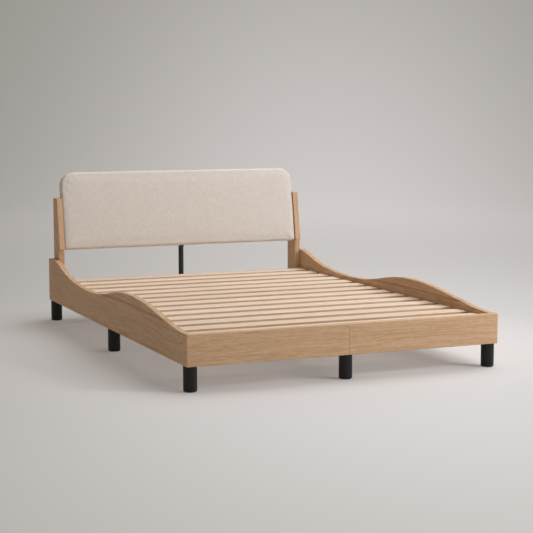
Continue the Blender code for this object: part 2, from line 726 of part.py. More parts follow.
def build_rod():
    """Steel rod from the floor to the panel's lower edge, with its foot, clamp, plate and bolt."""
    bore = ROD_RADIUS - ROD_WALL
    bottom = ROD_FOOT_RIM_HEIGHT + GAP
    ceiling = ROD_TOP - ROD_TOP_WALL
    tube = [(0, ROD_TOP), (ROD_RADIUS, ROD_TOP), (ROD_RADIUS, bottom)]
    tube += [(bore, bottom), (bore, ceiling), (0, ceiling)]
    rod = add_piece("support_rod", turned_mesh("support_rod", tube, ROD_STEPS), black_steel)
    rod.location = (0, ROD_Y, 0)
    spigot = bore - GAP
    spigot_top = ROD_FOOT_RIM_HEIGHT + ROD_FOOT_SPIGOT_HEIGHT
    plug = [
        (0, spigot_top),
        (spigot, spigot_top),
        (spigot, ROD_FOOT_RIM_HEIGHT),
        (ROD_RADIUS, ROD_FOOT_RIM_HEIGHT),
        (ROD_RADIUS, ROD_FOOT_CHAMFER),
        (ROD_RADIUS - ROD_FOOT_CHAMFER, 0),
        (0, 0),
    ]
    foot = add_piece("rod_foot", turned_mesh("rod_foot", plug, ROD_STEPS), black_plastic)
    foot.location = (0, ROD_Y, 0)
    bent = outline_mesh("rod_plate", rod_plate_points(), ROD_PLATE_WIDTH, 0)
    plate = add_piece("rod_plate", bent, black_steel)
    plate.rotation_euler = OUTLINE_TO_YZ
    strap = outline_mesh("rod_clamp", clamp_points(), CLAMP_HEIGHT, 0)
    clamp = add_piece("rod_clamp", strap, black_steel)
    clamp.location = (0, 0, RAIL_BOTTOM + HEAD_RAIL_HEIGHT / 2)
    plate_top = ROD_TOP + GAP + ROD_PLATE_THICKNESS
    add_bolt("rod_bolt", ROD_BOLT, (0, ROD_Y, plate_top), (0, 0, -1), plate, rod)


def build_bolts():
    """Bolts through the side rails into the corner blocks, and from the posts into the rails."""
    corner_y = FOOT_END + CORNER_BOLT_FROM_FOOT_END
    corner_z = RAIL_BOTTOM + CORNER_BOLT_HEIGHT
    post_y = HEAD_END - POST_BOLT_FROM_HEAD_END
    pieces = bpy.data.objects
    for name, side in SIDES:
        rail = pieces["side_rail_" + name]
        block = pieces["corner_block_" + name]
        place = (side * HALF_WIDTH, corner_y, corner_z)
        add_bolt("corner_bolt_" + name, CORNER_BOLT, place, (-side, 0, 0), rail, block)
        for level, height in POST_BOLT_HEIGHTS:
            place = (side * POST_INNER, post_y, RAIL_BOTTOM + height)
            post = pieces["headboard_post_" + name]
            add_bolt(f"post_bolt_{level}_{name}", POST_BOLT, place, (side, 0, 0), post, rail)


build_side_rails()
build_cross_rails()
build_blocks()
build_slat_support()
build_slats()
build_legs()
build_posts()
build_panel()
build_angles()
build_rod()
build_bolts()
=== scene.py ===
"""The finished look of a wooden double bed, built around the fixed frame of its solids.

Metres. X runs across the bed, Y towards the head, Z up. The origin is on the floor under the
middle of the bed. Left is -X, as seen from the foot of the bed.
"""

import json
import logging
import math
import random
from collections.abc import Callable, Iterable, Sequence
from dataclasses import dataclass
from enum import Enum

import bmesh
import bpy
from mathutils import Matrix, Vector, noise

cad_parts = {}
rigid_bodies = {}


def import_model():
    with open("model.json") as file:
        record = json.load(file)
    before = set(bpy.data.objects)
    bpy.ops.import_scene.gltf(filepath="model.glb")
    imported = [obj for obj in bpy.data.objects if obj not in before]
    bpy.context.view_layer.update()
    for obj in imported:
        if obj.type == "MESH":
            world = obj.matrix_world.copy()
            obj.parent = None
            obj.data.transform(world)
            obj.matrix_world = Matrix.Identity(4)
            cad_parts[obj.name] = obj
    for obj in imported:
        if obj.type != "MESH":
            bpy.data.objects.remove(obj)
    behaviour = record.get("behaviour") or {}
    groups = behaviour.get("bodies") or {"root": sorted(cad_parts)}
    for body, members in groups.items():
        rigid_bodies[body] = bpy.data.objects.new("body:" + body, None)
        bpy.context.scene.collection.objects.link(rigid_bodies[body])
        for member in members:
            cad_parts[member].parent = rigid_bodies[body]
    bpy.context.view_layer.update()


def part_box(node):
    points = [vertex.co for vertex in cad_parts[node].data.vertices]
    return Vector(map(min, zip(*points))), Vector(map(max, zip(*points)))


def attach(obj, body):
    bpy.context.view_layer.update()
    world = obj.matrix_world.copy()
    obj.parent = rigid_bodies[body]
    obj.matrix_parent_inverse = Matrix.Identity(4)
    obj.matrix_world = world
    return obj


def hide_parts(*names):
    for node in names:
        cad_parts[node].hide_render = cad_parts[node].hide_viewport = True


for startup_object in list(bpy.data.objects):
    bpy.data.objects.remove(startup_object, do_unlink=True)
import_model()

log = logging.getLogger("bed")

Flat = tuple[float, float]
Triple = tuple[float, float, float]
Rgb = Triple
Ring = list[Vector]
Spot = tuple[Vector, Vector]
GrainRule = Callable[[Vector], Vector]
Mesh = bpy.types.Mesh
Piece = bpy.types.Object
Material = bpy.types.Material
Tree = bpy.types.NodeTree
Node = bpy.types.Node
Socket = bpy.types.NodeSocket
Value = Socket | Sequence[float] | float

BODY = "root"
GRAIN = "grain"
TONE = "tone"
# Marks the slats' side faces, which the wood darkens as painted shade in the gaps between slats.
SIDE_SHADE = "sawn"
SIDES = (("left", -1), ("right", 1))
ROWS = ("foot", "middle", "head")
COLUMNS = ("left", "centre", "right")
LEG_NODES = [f"leg_{row}_{column}" for row in ROWS for column in COLUMNS]
UP = Vector((0, 0, 1))
HEADWARDS = Vector((0, 1, 0))
SMOOTH_UNDER = math.radians(40)
CORNER_OVER = math.radians(30)
MERGE_DISTANCE = 0.00002
GAP = 0.0003
LOG_ROOM = (9.0, 0.05, 0.03)


class Slot(Enum):
    """The record's material slots."""

    OAK = "oak"
    PINE = "pine"
    PLYWOOD = "plywood"
    FABRIC = "woven_fabric"
    PLASTIC = "black_plastic"
    STEEL = "black_steel"


class Axis(Enum):
    """The world axis that a board's grain follows, as the axes along, across and into the grain."""

    X = (0, 2, 1)
    Y = (1, 2, 0)
    Z = (2, 0, 1)


class Recess(Enum):
    """The form of a screw's socket, by the number of its points."""

    CROSS = 4
    HEXAGON = 6


# Node trees


@dataclass(frozen=True)
class Layer:
    """A layer of noise: its lumps to the metre, and the values between which it comes to show."""

    stretch: Triple
    low: float = 0.0
    high: float = 1.0
    detail: float = 2.0


class Graph:
    """Short ways to add and join the nodes of one tree."""

    def __init__(self, tree: Tree) -> None:
        """Keep the shader tree or geometry tree that the nodes go into."""
        self.tree = tree

    def feed(self, node: Node, inputs: dict) -> None:
        """Fill a node's inputs.

        Args:
            node: The node.
            inputs: Input name or index to a value, or to the socket that feeds it.
        """
        for key, value in inputs.items():
            if isinstance(value, Socket):
                self.tree.links.new(value, node.inputs[key])
            else:
                node.inputs[key].default_value = value

    def add(self, kind: str, inputs: dict | None = None, **settings: str) -> Node:
        """Add a node.

        Args:
            kind: The node's type name.
            inputs: Input name or index to a value, or to the socket that feeds it.
            **settings: The node's own properties.

        Returns:
            The new node.
        """
        node = self.tree.nodes.new(kind)
        for key, value in settings.items():
            setattr(node, key, value)
        self.feed(node, inputs or {})
        return node

    def math(self, operation: str, *values: Value) -> Socket:
        """Return the result of a sum on numbers or sockets."""
        return self.add("ShaderNodeMath", dict(enumerate(values)), operation=operation).outputs[0]

    def vector(self, operation: str, *values: Value) -> Socket:
        """Return the result of a sum on vectors or vector sockets."""
        return self.add("ShaderNodeVectorMath", dict(enumerate(values)), operation=operation).outputs[0]

    def noise(self, vector: Socket, layer: Layer) -> Socket:
        """Return a layer's noise from 0 to 1 at a place."""
        place = self.vector("MULTIPLY", vector, layer.stretch)
        return self.add("ShaderNodeTexNoise", dict(Vector=place, Scale=1.0, Detail=layer.detail)).outputs[0]

    def step(self, value: Socket, low: float, high: float) -> Socket:
        """Return a value that rises smoothly from 0 at low to 1 at high."""
        inputs = {"Value": value, "From Min": low, "From Max": high}
        return self.add("ShaderNodeMapRange", inputs, interpolation_type="SMOOTHSTEP").outputs[0]

    def shown(self, vector: Socket, layer: Layer) -> Socket:
        """Return how far a layer of noise shows at a place, from 0 to 1."""
        return self.step(self.noise(vector, layer), layer.low, layer.high)

    def total(self, parts: Iterable[tuple[Socket, float]]) -> Socket:
        """Return the sum of values, each times its share.

        Args:
            parts: The values and their shares.

        Returns:
            The sum's socket.
        """
        result: Value = 0.0
        for value, share in parts:
            result = self.math("MULTIPLY_ADD", value, share, result)
        return result

    def around(self, value: Socket, middle: float, spread: float) -> Socket:
        """Return a value from 0 to 1 laid evenly around a middle."""
        return self.math("MULTIPLY_ADD", value, spread, middle - spread / 2)

    def tinted(self, factor: Socket, pale: Rgb, dark: Rgb) -> Socket:
        """Return the colour between a pale and a dark one, by a factor that is kept from 0 to 1."""
        return self.blend(self.add("ShaderNodeClamp", {0: factor}).outputs[0], pale, dark)

    def blend(self, factor: Socket, first: Rgb, second: Rgb) -> Socket:
        """Return the colour between two colours."""
        inputs = {0: factor, 6: (*first, 1.0), 7: (*second, 1.0)}
        return self.add("ShaderNodeMix", inputs, data_type="RGBA").outputs[2]

    def choose(self, factor: Socket, first: Socket, second: Socket) -> Socket:
        """Return the number between two numbers."""
        return self.add("ShaderNodeMix", {0: factor, 2: first, 3: second}, data_type="FLOAT").outputs[0]

    def bump(self, height: Socket, distance: float, strength: float = 1.0) -> Socket:
        """Return a normal bent by a height from 0 to 1 that stands for a distance."""
        inputs = {"Height": height, "Distance": distance, "Strength": strength}
        return self.add("ShaderNodeBump", inputs).outputs[0]

    def surface(self, shader: Socket) -> None:
        """Join a shader to the material's output."""
        output = next(node for node in self.tree.nodes if node.type == "OUTPUT_MATERIAL")
        self.tree.links.new(shader, output.inputs["Surface"])


def blank_material(name: str) -> tuple[Material, Graph, Node]:
    """Make a material with only its shader.

    Args:
        name: The material's name.

    Returns:
        The material, its graph and its Principled shader.
    """
    material = bpy.data.materials.new(name)
    material.use_nodes = True
    shader = material.node_tree.nodes["Principled BSDF"]
    return material, Graph(material.node_tree), shader


@dataclass(frozen=True)
class Finish:
    """A surface finish that makes its material once."""

    name: str
    slot: Slot | None

    def material(self) -> Material:
        """Return the finish's material."""
        return bpy.data.materials.get(self.name) or self.make()

    def make(self) -> Material:
        """Make the finish's material."""
        raise NotImplementedError


@dataclass(frozen=True)
class WoodFinish(Finish):
    """Planed wood, read along the grain: X along the fibres, Y across the face, Z into the board."""

    pale: Rgb
    dark: Rgb
    ring_pitch: float = 0.0045
    ring_sharpness: float = 4.0
    ring_share: float = 0.16
    fibre_share: float = 0.22
    streak_share: float = 0.22
    band_share: float = 0.16
    fleck_share: float = 0.24
    pore_share: float = 0.30
    side_shade_share: float = 0.0
    drift: Layer = Layer((1.1, 6.0, 6.0), detail=1.0)
    fibre: Layer = Layer((5.0, 420.0, 420.0), 0.30, 0.70, 3.0)
    streak: Layer = Layer((6.0, 150.0, 150.0), 0.38, 0.68)
    band: Layer = Layer((1.4, 42.0, 42.0), 0.32, 0.70)
    fleck: Layer = Layer((32.0, 230.0, 230.0), 0.34, 0.70, 1.0)
    pore: Layer = Layer((42.0, 1500.0, 1500.0), 0.60, 0.72, 1.0)
    wander: float = 0.030
    pith_depth: float = 0.150
    roughness: float = 0.50
    roughness_spread: float = 0.16
    relief: float = 0.00025
    pore_relief_share: float = -0.7
    gloss: float = 0.15
    vein_at: float | None = None
    vein_wander: float = 0.010
    vein_half_width: float = 0.0040
    vein_edge_shares: Flat = (2.0, 0.3)
    vein_share: float = 0.62
    vein_from: float = -0.900
    vein_to: float = 0.200
    vein_fade: float = 0.180
    knots_to_metre: float = 0.0
    knot_length_share: float = 0.5
    knot_rim: float = 0.055
    knot_core: float = 0.015

    def make(self) -> Material:
        """Make the wood: rings around a pith behind the face, fibres, pores and slow bands, and painted shade
        on marked side faces.
        """
        material, graph, shader = blank_material(self.name)
        grain = graph.add("ShaderNodeAttribute", attribute_name=GRAIN).outputs["Vector"]
        tone = graph.add("ShaderNodeAttribute", attribute_name=TONE).outputs["Fac"]
        # Painted shade: 1 on the slats' side faces, darkening the gaps between slats.
        sawn = graph.add("ShaderNodeAttribute", attribute_name=SIDE_SHADE).outputs["Fac"]
        axes = graph.add("ShaderNodeSeparateXYZ", {0: grain}).outputs
        drift = graph.noise(grain, self.drift)
        fibre = graph.noise(grain, self.fibre)
        pore = graph.shown(grain, self.pore)
        parts = [
            (self.ring(graph, axes, drift), self.ring_share),
            (graph.step(fibre, self.fibre.low, self.fibre.high), self.fibre_share),
            (graph.shown(grain, self.streak), self.streak_share),
            (graph.shown(grain, self.band), self.band_share),
            (graph.shown(grain, self.fleck), self.fleck_share),
            (pore, self.pore_share),
            (sawn, self.side_shade_share),
            (tone, 1.0),
        ]
        if self.vein_at is not None:
            parts.append((self.vein(graph, axes, drift), self.vein_share))
        if self.knots_to_metre:
            parts.append((self.knots(graph, grain), 1.0))
        relief = graph.math("MULTIPLY_ADD", pore, self.pore_relief_share, fibre)
        inputs = {
            "Base Color": self.tint(graph, graph.total(parts)),
            "Roughness": graph.around(fibre, self.roughness, self.roughness_spread),
            "Specular IOR Level": self.gloss,
            "Normal": graph.bump(relief, self.relief),
        }
        graph.feed(shader, inputs)
        return material

    def tint(self, graph: Graph, factor: Socket) -> Socket:
        """Return the wood's colour, which is pale where the factor is 0 and dark where it is 1."""
        return graph.tinted(factor, self.pale, self.dark)

    def ring(self, graph: Graph, axes: bpy.types.NodeOutputs, drift: Socket) -> Socket:
        """Return how dark the growth rings are, which turn around a pith behind the face.

        Args:
            graph: The material's graph.
            axes: The grain's axes.
            drift: The slow noise that the rings wander with.

        Returns:
            A value that rises to 1 at each ring's end.
        """
        across = graph.math("ADD", axes["Y"], graph.math("MULTIPLY", drift, self.wander))
        depth = graph.math("ADD", axes["Z"], self.pith_depth)
        squares = graph.math("ADD", graph.math("POWER", across, 2.0), graph.math("POWER", depth, 2.0))
        radius = graph.math("MULTIPLY_ADD", drift, self.wander, graph.math("SQRT", squares))
        place = graph.math("FRACT", graph.math("DIVIDE", radius, self.ring_pitch))
        return graph.math("POWER", place, self.ring_sharpness)

    def vein(self, graph: Graph, axes: bpy.types.NodeOutputs, drift: Socket) -> Socket:
        """Find one dark line of the grain.

        Args:
            graph: The material's graph.
            axes: The grain's axes.
            drift: The slow noise that the line wanders with.

        Returns:
            1 on the line, falling to 0 beside it and past its ends.
        """
        offset = graph.math("MULTIPLY_ADD", drift, self.vein_wander, axes["Y"])
        distance = graph.math("ABSOLUTE", graph.math("SUBTRACT", offset, self.vein_at + self.vein_wander / 2))
        line = graph.step(distance, *[self.vein_half_width * share for share in self.vein_edge_shares])
        start = graph.step(axes["X"], self.vein_from, self.vein_from + self.vein_fade)
        end = graph.step(axes["X"], self.vein_to, self.vein_to - self.vein_fade)
        return graph.math("MULTIPLY", graph.math("MULTIPLY", line, start), end)

    def knots(self, graph: Graph, grain: Socket) -> Socket:
        """Find a few small round knots.

        Args:
            graph: The material's graph.
            grain: The grain's place.

        Returns:
            1 in the middle of a knot, falling to 0 round it.
        """
        stretch = (self.knots_to_metre * self.knot_length_share, self.knots_to_metre, self.knots_to_metre)
        place = graph.vector("MULTIPLY", grain, stretch)
        cells = graph.add("ShaderNodeTexVoronoi", {"Vector": place, "Scale": 1.0})
        return graph.step(cells.outputs["Distance"], self.knot_rim, self.knot_core)


@dataclass(frozen=True)
class PlyFinish(WoodFinish):
    """Plywood: a sanded face sheet, and its layers along the edge."""

    layer: float = 0.0018
    layer_share: float = 0.35

    def tint(self, graph: Graph, factor: Socket) -> Socket:
        """Return the sheet's colour, with every second layer darker where its edge shows.

        Args:
            graph: The material's graph.
            factor: 0 where the wood is pale, 1 where it is dark.

        Returns:
            The colour's socket.
        """
        grain = graph.add("ShaderNodeAttribute", attribute_name=GRAIN).outputs["Vector"]
        depth = graph.add("ShaderNodeSeparateXYZ", {0: grain}).outputs["Z"]
        layer = graph.math("FRACT", graph.math("DIVIDE", depth, self.layer * 2))
        darker = graph.math("MULTIPLY_ADD", graph.math("GREATER_THAN", layer, 0.5), self.layer_share, factor)
        return graph.tinted(darker, self.pale, self.dark)


@dataclass(frozen=True)
class WeaveFinish(Finish):
    """Nubby plain weave, read from a UV map in metres that follows the cloth."""

    pale: Rgb
    dark: Rgb
    pitch: float = 0.0026
    sway_share: float = 0.7
    sway_length: float = 0.02
    slub_length: float = 0.016
    yarn_shows: Flat = (0.36, 0.66)
    heather_share: float = 0.28
    furrow_shade_share: float = 0.30
    streak_width: float = 0.0055
    streak_length: float = 0.032
    streak_shows: Flat = (0.40, 0.66)
    streak_share: float = 0.26
    patch: Layer = Layer((60.0, 60.0, 1.0), 0.35, 0.70)
    patch_share: float = 0.05
    nub: Layer = Layer((210.0, 210.0, 1.0), 0.45, 0.70)
    nub_share: float = 0.16
    relief: float = 0.0009
    relief_strength: float = 0.8
    yarn_relief_share: float = 0.40
    thread_relief_share: float = 0.45
    nub_relief_share: float = 0.55
    roughness: float = 0.92
    gloss: float = 0.20
    sheen: float = 0.20
    sheen_roughness: float = 0.45

    @staticmethod
    def both_ways(graph: Graph, place: Socket, width: float, length: float) -> list[Socket]:
        """Return noise that is narrow one way of the cloth and long the other, for both ways."""
        pairs = ((width, length), (length, width))
        return [graph.noise(place, Layer((1 / x, 1 / y, 1.0), detail=1.0)) for x, y in pairs]

    def make(self) -> Material:
        """Make the cloth: threads over and under each other, slubs, heathered yarn and painted shade in the
        furrows between threads.
        """
        material, graph, shader = blank_material(self.name)
        uv = graph.add("ShaderNodeUVMap", uv_map="cloth").outputs[0]
        inputs = {"Vector": uv, "Scale": 1 / self.sway_length, "Detail": 1.0}
        sway = graph.add("ShaderNodeTexNoise", inputs).outputs["Color"]
        bent = graph.vector("MULTIPLY_ADD", sway, (self.pitch * self.sway_share,) * 3, uv)
        axes = graph.add("ShaderNodeSeparateXYZ", {0: bent}).outputs
        turn = math.pi / self.pitch
        waves = [graph.math("SINE", graph.math("MULTIPLY", axes[axis], turn)) for axis in ("X", "Y")]
        over = graph.math("GREATER_THAN", graph.math("MULTIPLY", *waves), 0.0)
        yarn = graph.choose(over, *self.both_ways(graph, bent, self.pitch, self.slub_length))
        thread = graph.choose(over, *[graph.math("ABSOLUTE", wave) for wave in waves])
        nub = graph.noise(uv, self.nub)
        shades = [
            (graph.step(yarn, *self.yarn_shows), self.heather_share),
            (graph.shown(uv, self.patch), self.patch_share),
            # Painted shade, darker in the furrows between threads.
            (graph.math("SUBTRACT", 1.0, thread), self.furrow_shade_share),
        ]
        for streak in self.both_ways(graph, uv, self.streak_width, self.streak_length):
            shades.append((graph.step(streak, *self.streak_shows), self.streak_share / 2))
        shades.append((graph.step(nub, self.nub.low, self.nub.high), self.nub_share))
        heights = (
            (yarn, self.yarn_relief_share),
            (thread, self.thread_relief_share),
            (nub, self.nub_relief_share),
        )
        inputs = {
            "Base Color": graph.tinted(graph.total(shades), self.pale, self.dark),
            "Roughness": self.roughness,
            "Specular IOR Level": self.gloss,
            "Sheen Weight": self.sheen,
            "Sheen Roughness": self.sheen_roughness,
            "Normal": graph.bump(graph.total(heights), self.relief, self.relief_strength),
        }
        graph.feed(shader, inputs)
        return material


@dataclass(frozen=True)
class PlasticFinish(Finish):
    """Moulded plastic with a fine spark-eroded grain and faint scuffs."""

    colour: Rgb
    worn: Rgb
    grain: Layer = Layer((1900.0, 1900.0, 1900.0), detail=1.0)
    cloud: Layer = Layer((17.0, 17.0, 9.0), 0.40, 0.70, 3.0)
    scuff: Layer = Layer((260.0, 260.0, 24.0), 0.64, 0.78)
    cloud_share: float = 0.4
    wear_share: float = 0.6
    roughness: float = 0.46
    roughness_spread: float = 0.14
    relief: float = 0.00006
    gloss: float = 0.28

    def make(self) -> Material:
        """Make the plastic."""
        material, graph, shader = blank_material(self.name)
        place = graph.add("ShaderNodeTexCoord").outputs["Object"]
        cloud = graph.noise(place, self.cloud)
        clouded = graph.step(cloud, self.cloud.low, self.cloud.high)
        wear = graph.math("MULTIPLY", graph.shown(place, self.scuff), clouded)
        shade = graph.total(((cloud, self.cloud_share), (wear, self.wear_share)))
        inputs = {
            "Base Color": graph.blend(shade, self.colour, self.worn),
            "Roughness": graph.around(cloud, self.roughness, self.roughness_spread),
            "Specular IOR Level": self.gloss,
            "Normal": graph.bump(graph.noise(place, self.grain), self.relief),
        }
        graph.feed(shader, inputs)
        return material


@dataclass(frozen=True)
class MetalFinish(Finish):
    """Coated or plated steel: a powder coat's orange peel or a plating's cloudy bloom."""

    colour: Rgb
    bloom: Rgb
    metallic: float
    roughness: float
    peel_to_metre: float
    relief: float
    cloud: Layer = Layer((55.0, 55.0, 55.0), 0.35, 0.70, 3.0)
    roughness_spread: float = 0.18

    def make(self) -> Material:
        """Make the metal."""
        material, graph, shader = blank_material(self.name)
        place = graph.add("ShaderNodeTexCoord").outputs["Object"]
        cloud = graph.noise(place, self.cloud)
        shade = graph.step(cloud, self.cloud.low, self.cloud.high)
        peel = graph.noise(place, Layer((self.peel_to_metre,) * 3))
        inputs = {
            "Base Color": graph.blend(shade, self.colour, self.bloom),
            "Roughness": graph.around(cloud, self.roughness, self.roughness_spread),
            "Metallic": self.metallic,
            "Normal": graph.bump(peel, self.relief),
        }
        graph.feed(shader, inputs)
        return material


OAK_PALE, OAK_DARK = (0.715, 0.487, 0.300), (0.445, 0.263, 0.141)
OAK = WoodFinish("oak_clear_lacquer", Slot.OAK, OAK_PALE, OAK_DARK)
OAK_RAIL = WoodFinish("oak_with_dark_vein", Slot.OAK, OAK_PALE, OAK_DARK, streak_share=0.34, vein_at=0.152)
PINE = WoodFinish(
    "pine_planed",
    Slot.PINE,
    (0.860, 0.690, 0.535),
    (0.560, 0.365, 0.225),
    ring_pitch=0.0062,
    fibre_share=0.10,
    streak_share=0.16,
    band_share=0.14,
    fleck_share=0.12,
    pore_share=0.0,
    # Share of painted shade on the slats' side faces, in the gaps between slats.
    side_shade_share=0.30,
    roughness=0.62,
    knots_to_metre=5.0,
)
# Sawn pine: duller than planed pine, and darker still as painted shade for the dark places under the slats.
PINE_SAWN_PAINTED_SHADE = WoodFinish(
    "pine_sawn",
    Slot.PINE,
    (0.480, 0.345, 0.225),
    (0.340, 0.225, 0.135),
    ring_pitch=0.0058,
    ring_share=0.30,
    pore_share=0.10,
    roughness=0.74,
    relief=0.0005,
    knots_to_metre=7.0,
)
PLYWOOD = PlyFinish(
    "birch_plywood",
    Slot.PLYWOOD,
    (0.750, 0.580, 0.400),
    (0.500, 0.340, 0.205),
    ring_pitch=0.011,
    streak_share=0.13,
    band_share=0.10,
    fleck_share=0.12,
    pore_share=0.12,
)
WEAVE = WeaveFinish("oatmeal_weave", Slot.FABRIC, (0.825, 0.767, 0.708), (0.585, 0.523, 0.466))
PLASTIC = PlasticFinish("black_moulded_plastic", Slot.PLASTIC, (0.0100, 0.0102, 0.0105), (0.020,) * 3)
POWDER_COAT = MetalFinish(
    "black_powder_coat", Slot.STEEL, (0.013, 0.013, 0.014), (0.021, 0.021, 0.022), 0.0, 0.42, 1500.0, 0.00010
)
ZINC = MetalFinish(
    "zinc_plate", None, (0.580, 0.570, 0.540), (0.440, 0.440, 0.430), 1.0, 0.38, 700.0, 0.00004
)


# Meshes


def linked(name: str, data: bpy.types.ID) -> Piece:
    """Put an object into the scene.

    Args:
        name: The object's name.
        data: The mesh, camera or light that it holds.

    Returns:
        The object.
    """
    piece = bpy.data.objects.new(name, data)
    bpy.context.scene.collection.objects.link(piece)
    return piece


def merged(shape: bmesh.types.BMesh, name: str) -> Mesh:
    """Close the seams of a shape, turn its faces outwards and return it as a mesh.

    Args:
        shape: The shape, which is freed.
        name: The mesh's name.

    Returns:
        The mesh.
    """
    bmesh.ops.remove_doubles(shape, verts=shape.verts, dist=MERGE_DISTANCE)
    bmesh.ops.recalc_face_normals(shape, faces=shape.faces)
    mesh = bpy.data.meshes.new(name)
    shape.to_mesh(mesh)
    shape.free()
    return mesh


def evaluated(mesh: Mesh, prepare: Callable[[Piece], None]) -> Mesh:
    """Return a mesh as modifiers leave it.

    Args:
        mesh: The mesh to start from, which is removed.
        prepare: Adds the modifiers to the object that holds the mesh.

    Returns:
        The finished mesh.
    """
    worked = linked("worked_piece", mesh)
    prepare(worked)
    bpy.context.view_layer.update()
    graph = bpy.context.evaluated_depsgraph_get()
    result = bpy.data.meshes.new_from_object(worked.evaluated_get(graph))
    result.name = mesh.name
    bpy.data.objects.remove(worked, do_unlink=True)
    bpy.data.meshes.remove(mesh)
    return result


def modified(mesh: Mesh, kind: str, **settings: str | float | bool) -> Mesh:
    """Return a mesh as one modifier leaves it.

    Args:
        mesh: The mesh to start from, which is removed.
        kind: The modifier's type.
        **settings: Its own properties.

    Returns:
        The finished mesh.
    """

    def prepare(piece: Piece) -> None:
        """Add the modifier."""
        modifier = piece.modifiers.new(kind, kind)
        for key, value in settings.items():
            setattr(modifier, key, value)

    return evaluated(mesh, prepare)


def without(mesh: Mesh, tools: Sequence[Mesh]) -> Mesh:
    """Return a mesh without the room that closed tools take.

    Args:
        mesh: The mesh to start from, which is removed.
        tools: The meshes that are cut out of it.

    Returns:
        The finished mesh.
    """
    cutters = [linked(tool.name, tool) for tool in tools]

    def cut(piece: Piece) -> None:
        """Take each cutter out of the piece."""
        for cutter in cutters:
            modifier = piece.modifiers.new(cutter.name, "BOOLEAN")
            modifier.operation = "DIFFERENCE"
            modifier.object = cutter

    result = evaluated(mesh, cut)
    for cutter in cutters:
        bpy.data.objects.remove(cutter, do_unlink=True)
    return result


def creased(mesh: Mesh, angle: float) -> None:
    """Shade a mesh smooth, but for its edges over an angle."""
    mesh.shade_smooth()
    mesh.set_sharp_from_angle(angle=angle)


def faired(mesh: Mesh) -> Mesh:
    """Return a mesh that is shaded smooth over its roundings and flat over its faces."""
    creased(mesh, SMOOTH_UNDER)
    return modified(mesh, "WEIGHTED_NORMAL", keep_sharp=True)


def write_grain(mesh: Mesh, rule: GrainRule) -> None:
    """Store where each point lies in the wood's own grain.

    Args:
        mesh: The board's mesh.
        rule: Turns a point of the bed into one along, across and into the grain.
    """
    values = [value for vertex in mesh.vertices for value in rule(vertex.co)]
    attribute = mesh.attributes.new(GRAIN, "FLOAT_VECTOR", "POINT")
    attribute.data.foreach_set("vector", values)


def straight_grain(axis: Axis, seed: int) -> GrainRule:
    """Return a rule for a board sawn along one axis, at its own place in the log.

    Args:
        axis: The world axis that the fibres follow.
        seed: Sets the place in the log.

    Returns:
        The rule.
    """
    dice = random.Random(seed)
    shift = Vector([dice.uniform(-room, room) for room in LOG_ROOM])
    return lambda point: Vector([point[index] for index in axis.value]) + shift


def place_piece(name: str, mesh: Mesh, finish: Finish, nodes: Iterable[str] = ()) -> Piece:
    """Put a finished mesh on the bed.

    Args:
        name: The piece's name.
        mesh: Its mesh, in place.
        finish: Its surface finish.
        nodes: The solids that it stands for.

    Returns:
        The piece.
    """
    mesh.materials.clear()
    mesh.materials.append(finish.material())
    mesh.name = name
    piece = linked(name, mesh)
    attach(piece, BODY)
    nodes = list(nodes)
    if nodes:
        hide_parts(*nodes)
    log.info("%s: %d faces, %s", name, len(mesh.polygons), finish.name)
    return piece


def rounded_loop(low: Flat, high: Flat, radius: float, steps: int = 4) -> list[Flat]:
    """Return the outline of a rectangle with round corners, anticlockwise.

    Args:
        low: The lowest corner.
        high: The highest corner.
        radius: The corners' radius.
        steps: How many edges each corner has.

    Returns:
        The outline's points.
    """
    centres = (
        (high[0] - radius, low[1] + radius),
        (high[0] - radius, high[1] - radius),
        (low[0] + radius, high[1] - radius),
        (low[0] + radius, low[1] + radius),
    )
    loop = []
    for corner, (x, y) in enumerate(centres):
        for step in range(steps + 1):
            angle = math.pi / 2 * (corner - 1 + step / steps)
            loop.append((x + radius * math.cos(angle), y + radius * math.sin(angle)))
    return loop


def quarter(radius: float, steps: int) -> list[Flat]:
    """Return a quarter of a circle as pairs: a distance that grows from 0, and one that falls to 0."""
    angles = [math.pi / 2 * step / steps for step in range(steps + 1)]
    return [(radius * (1 - math.cos(angle)), radius * (1 - math.sin(angle))) for angle in angles]


def loft(name: str, rings: Sequence[Sequence[Vector]]) -> Mesh:
    """Return the solid through rings of equal count, closed at both ends.

    Args:
        name: The mesh's name.
        rings: Its sections from one end to the other.

    Returns:
        The mesh.
    """
    shape = bmesh.new()
    rows = [[shape.verts.new(point) for point in ring] for ring in rings]
    for near, far in zip(rows, rows[1:]):
        for index in range(len(near)):
            after = (index + 1) % len(near)
            shape.faces.new((near[index], near[after], far[after], far[index]))
    shape.faces.new(rows[0])
    shape.faces.new(rows[-1])
    return merged(shape, name)


def lathe(name: str, profile: Sequence[tuple], segments: int) -> Mesh:
    """Return the solid that a profile turns around the Z axis.

    Args:
        name: The mesh's name.
        profile: (radius, height) or (radius, height, recess) down the outer side. A ring with a
            recess has that recess's form instead of a circle.
        segments: How many sides the turned piece has.

    Returns:
        The mesh.
    """
    shape = bmesh.new()
    rows = []
    for radius, height, *recess in profile:
        if radius == 0:
            rows.append([shape.verts.new((0, 0, height))])
            continue
        row = []
        for index in range(segments):
            angle = 2 * math.pi * index / segments
            reach = radius * recess_share(angle, *recess) if recess else radius
            row.append(shape.verts.new((reach * math.cos(angle), reach * math.sin(angle), height)))
        rows.append(row)
    for upper, lower in zip(rows, rows[1:]):
        for index in range(segments):
            after = (index + 1) % segments
            corners = [upper[index % len(upper)], upper[after % len(upper)]]
            corners += [lower[after % len(lower)], lower[index % len(lower)]]
            shape.faces.new(list(dict.fromkeys(corners)))
    return merged(shape, name)


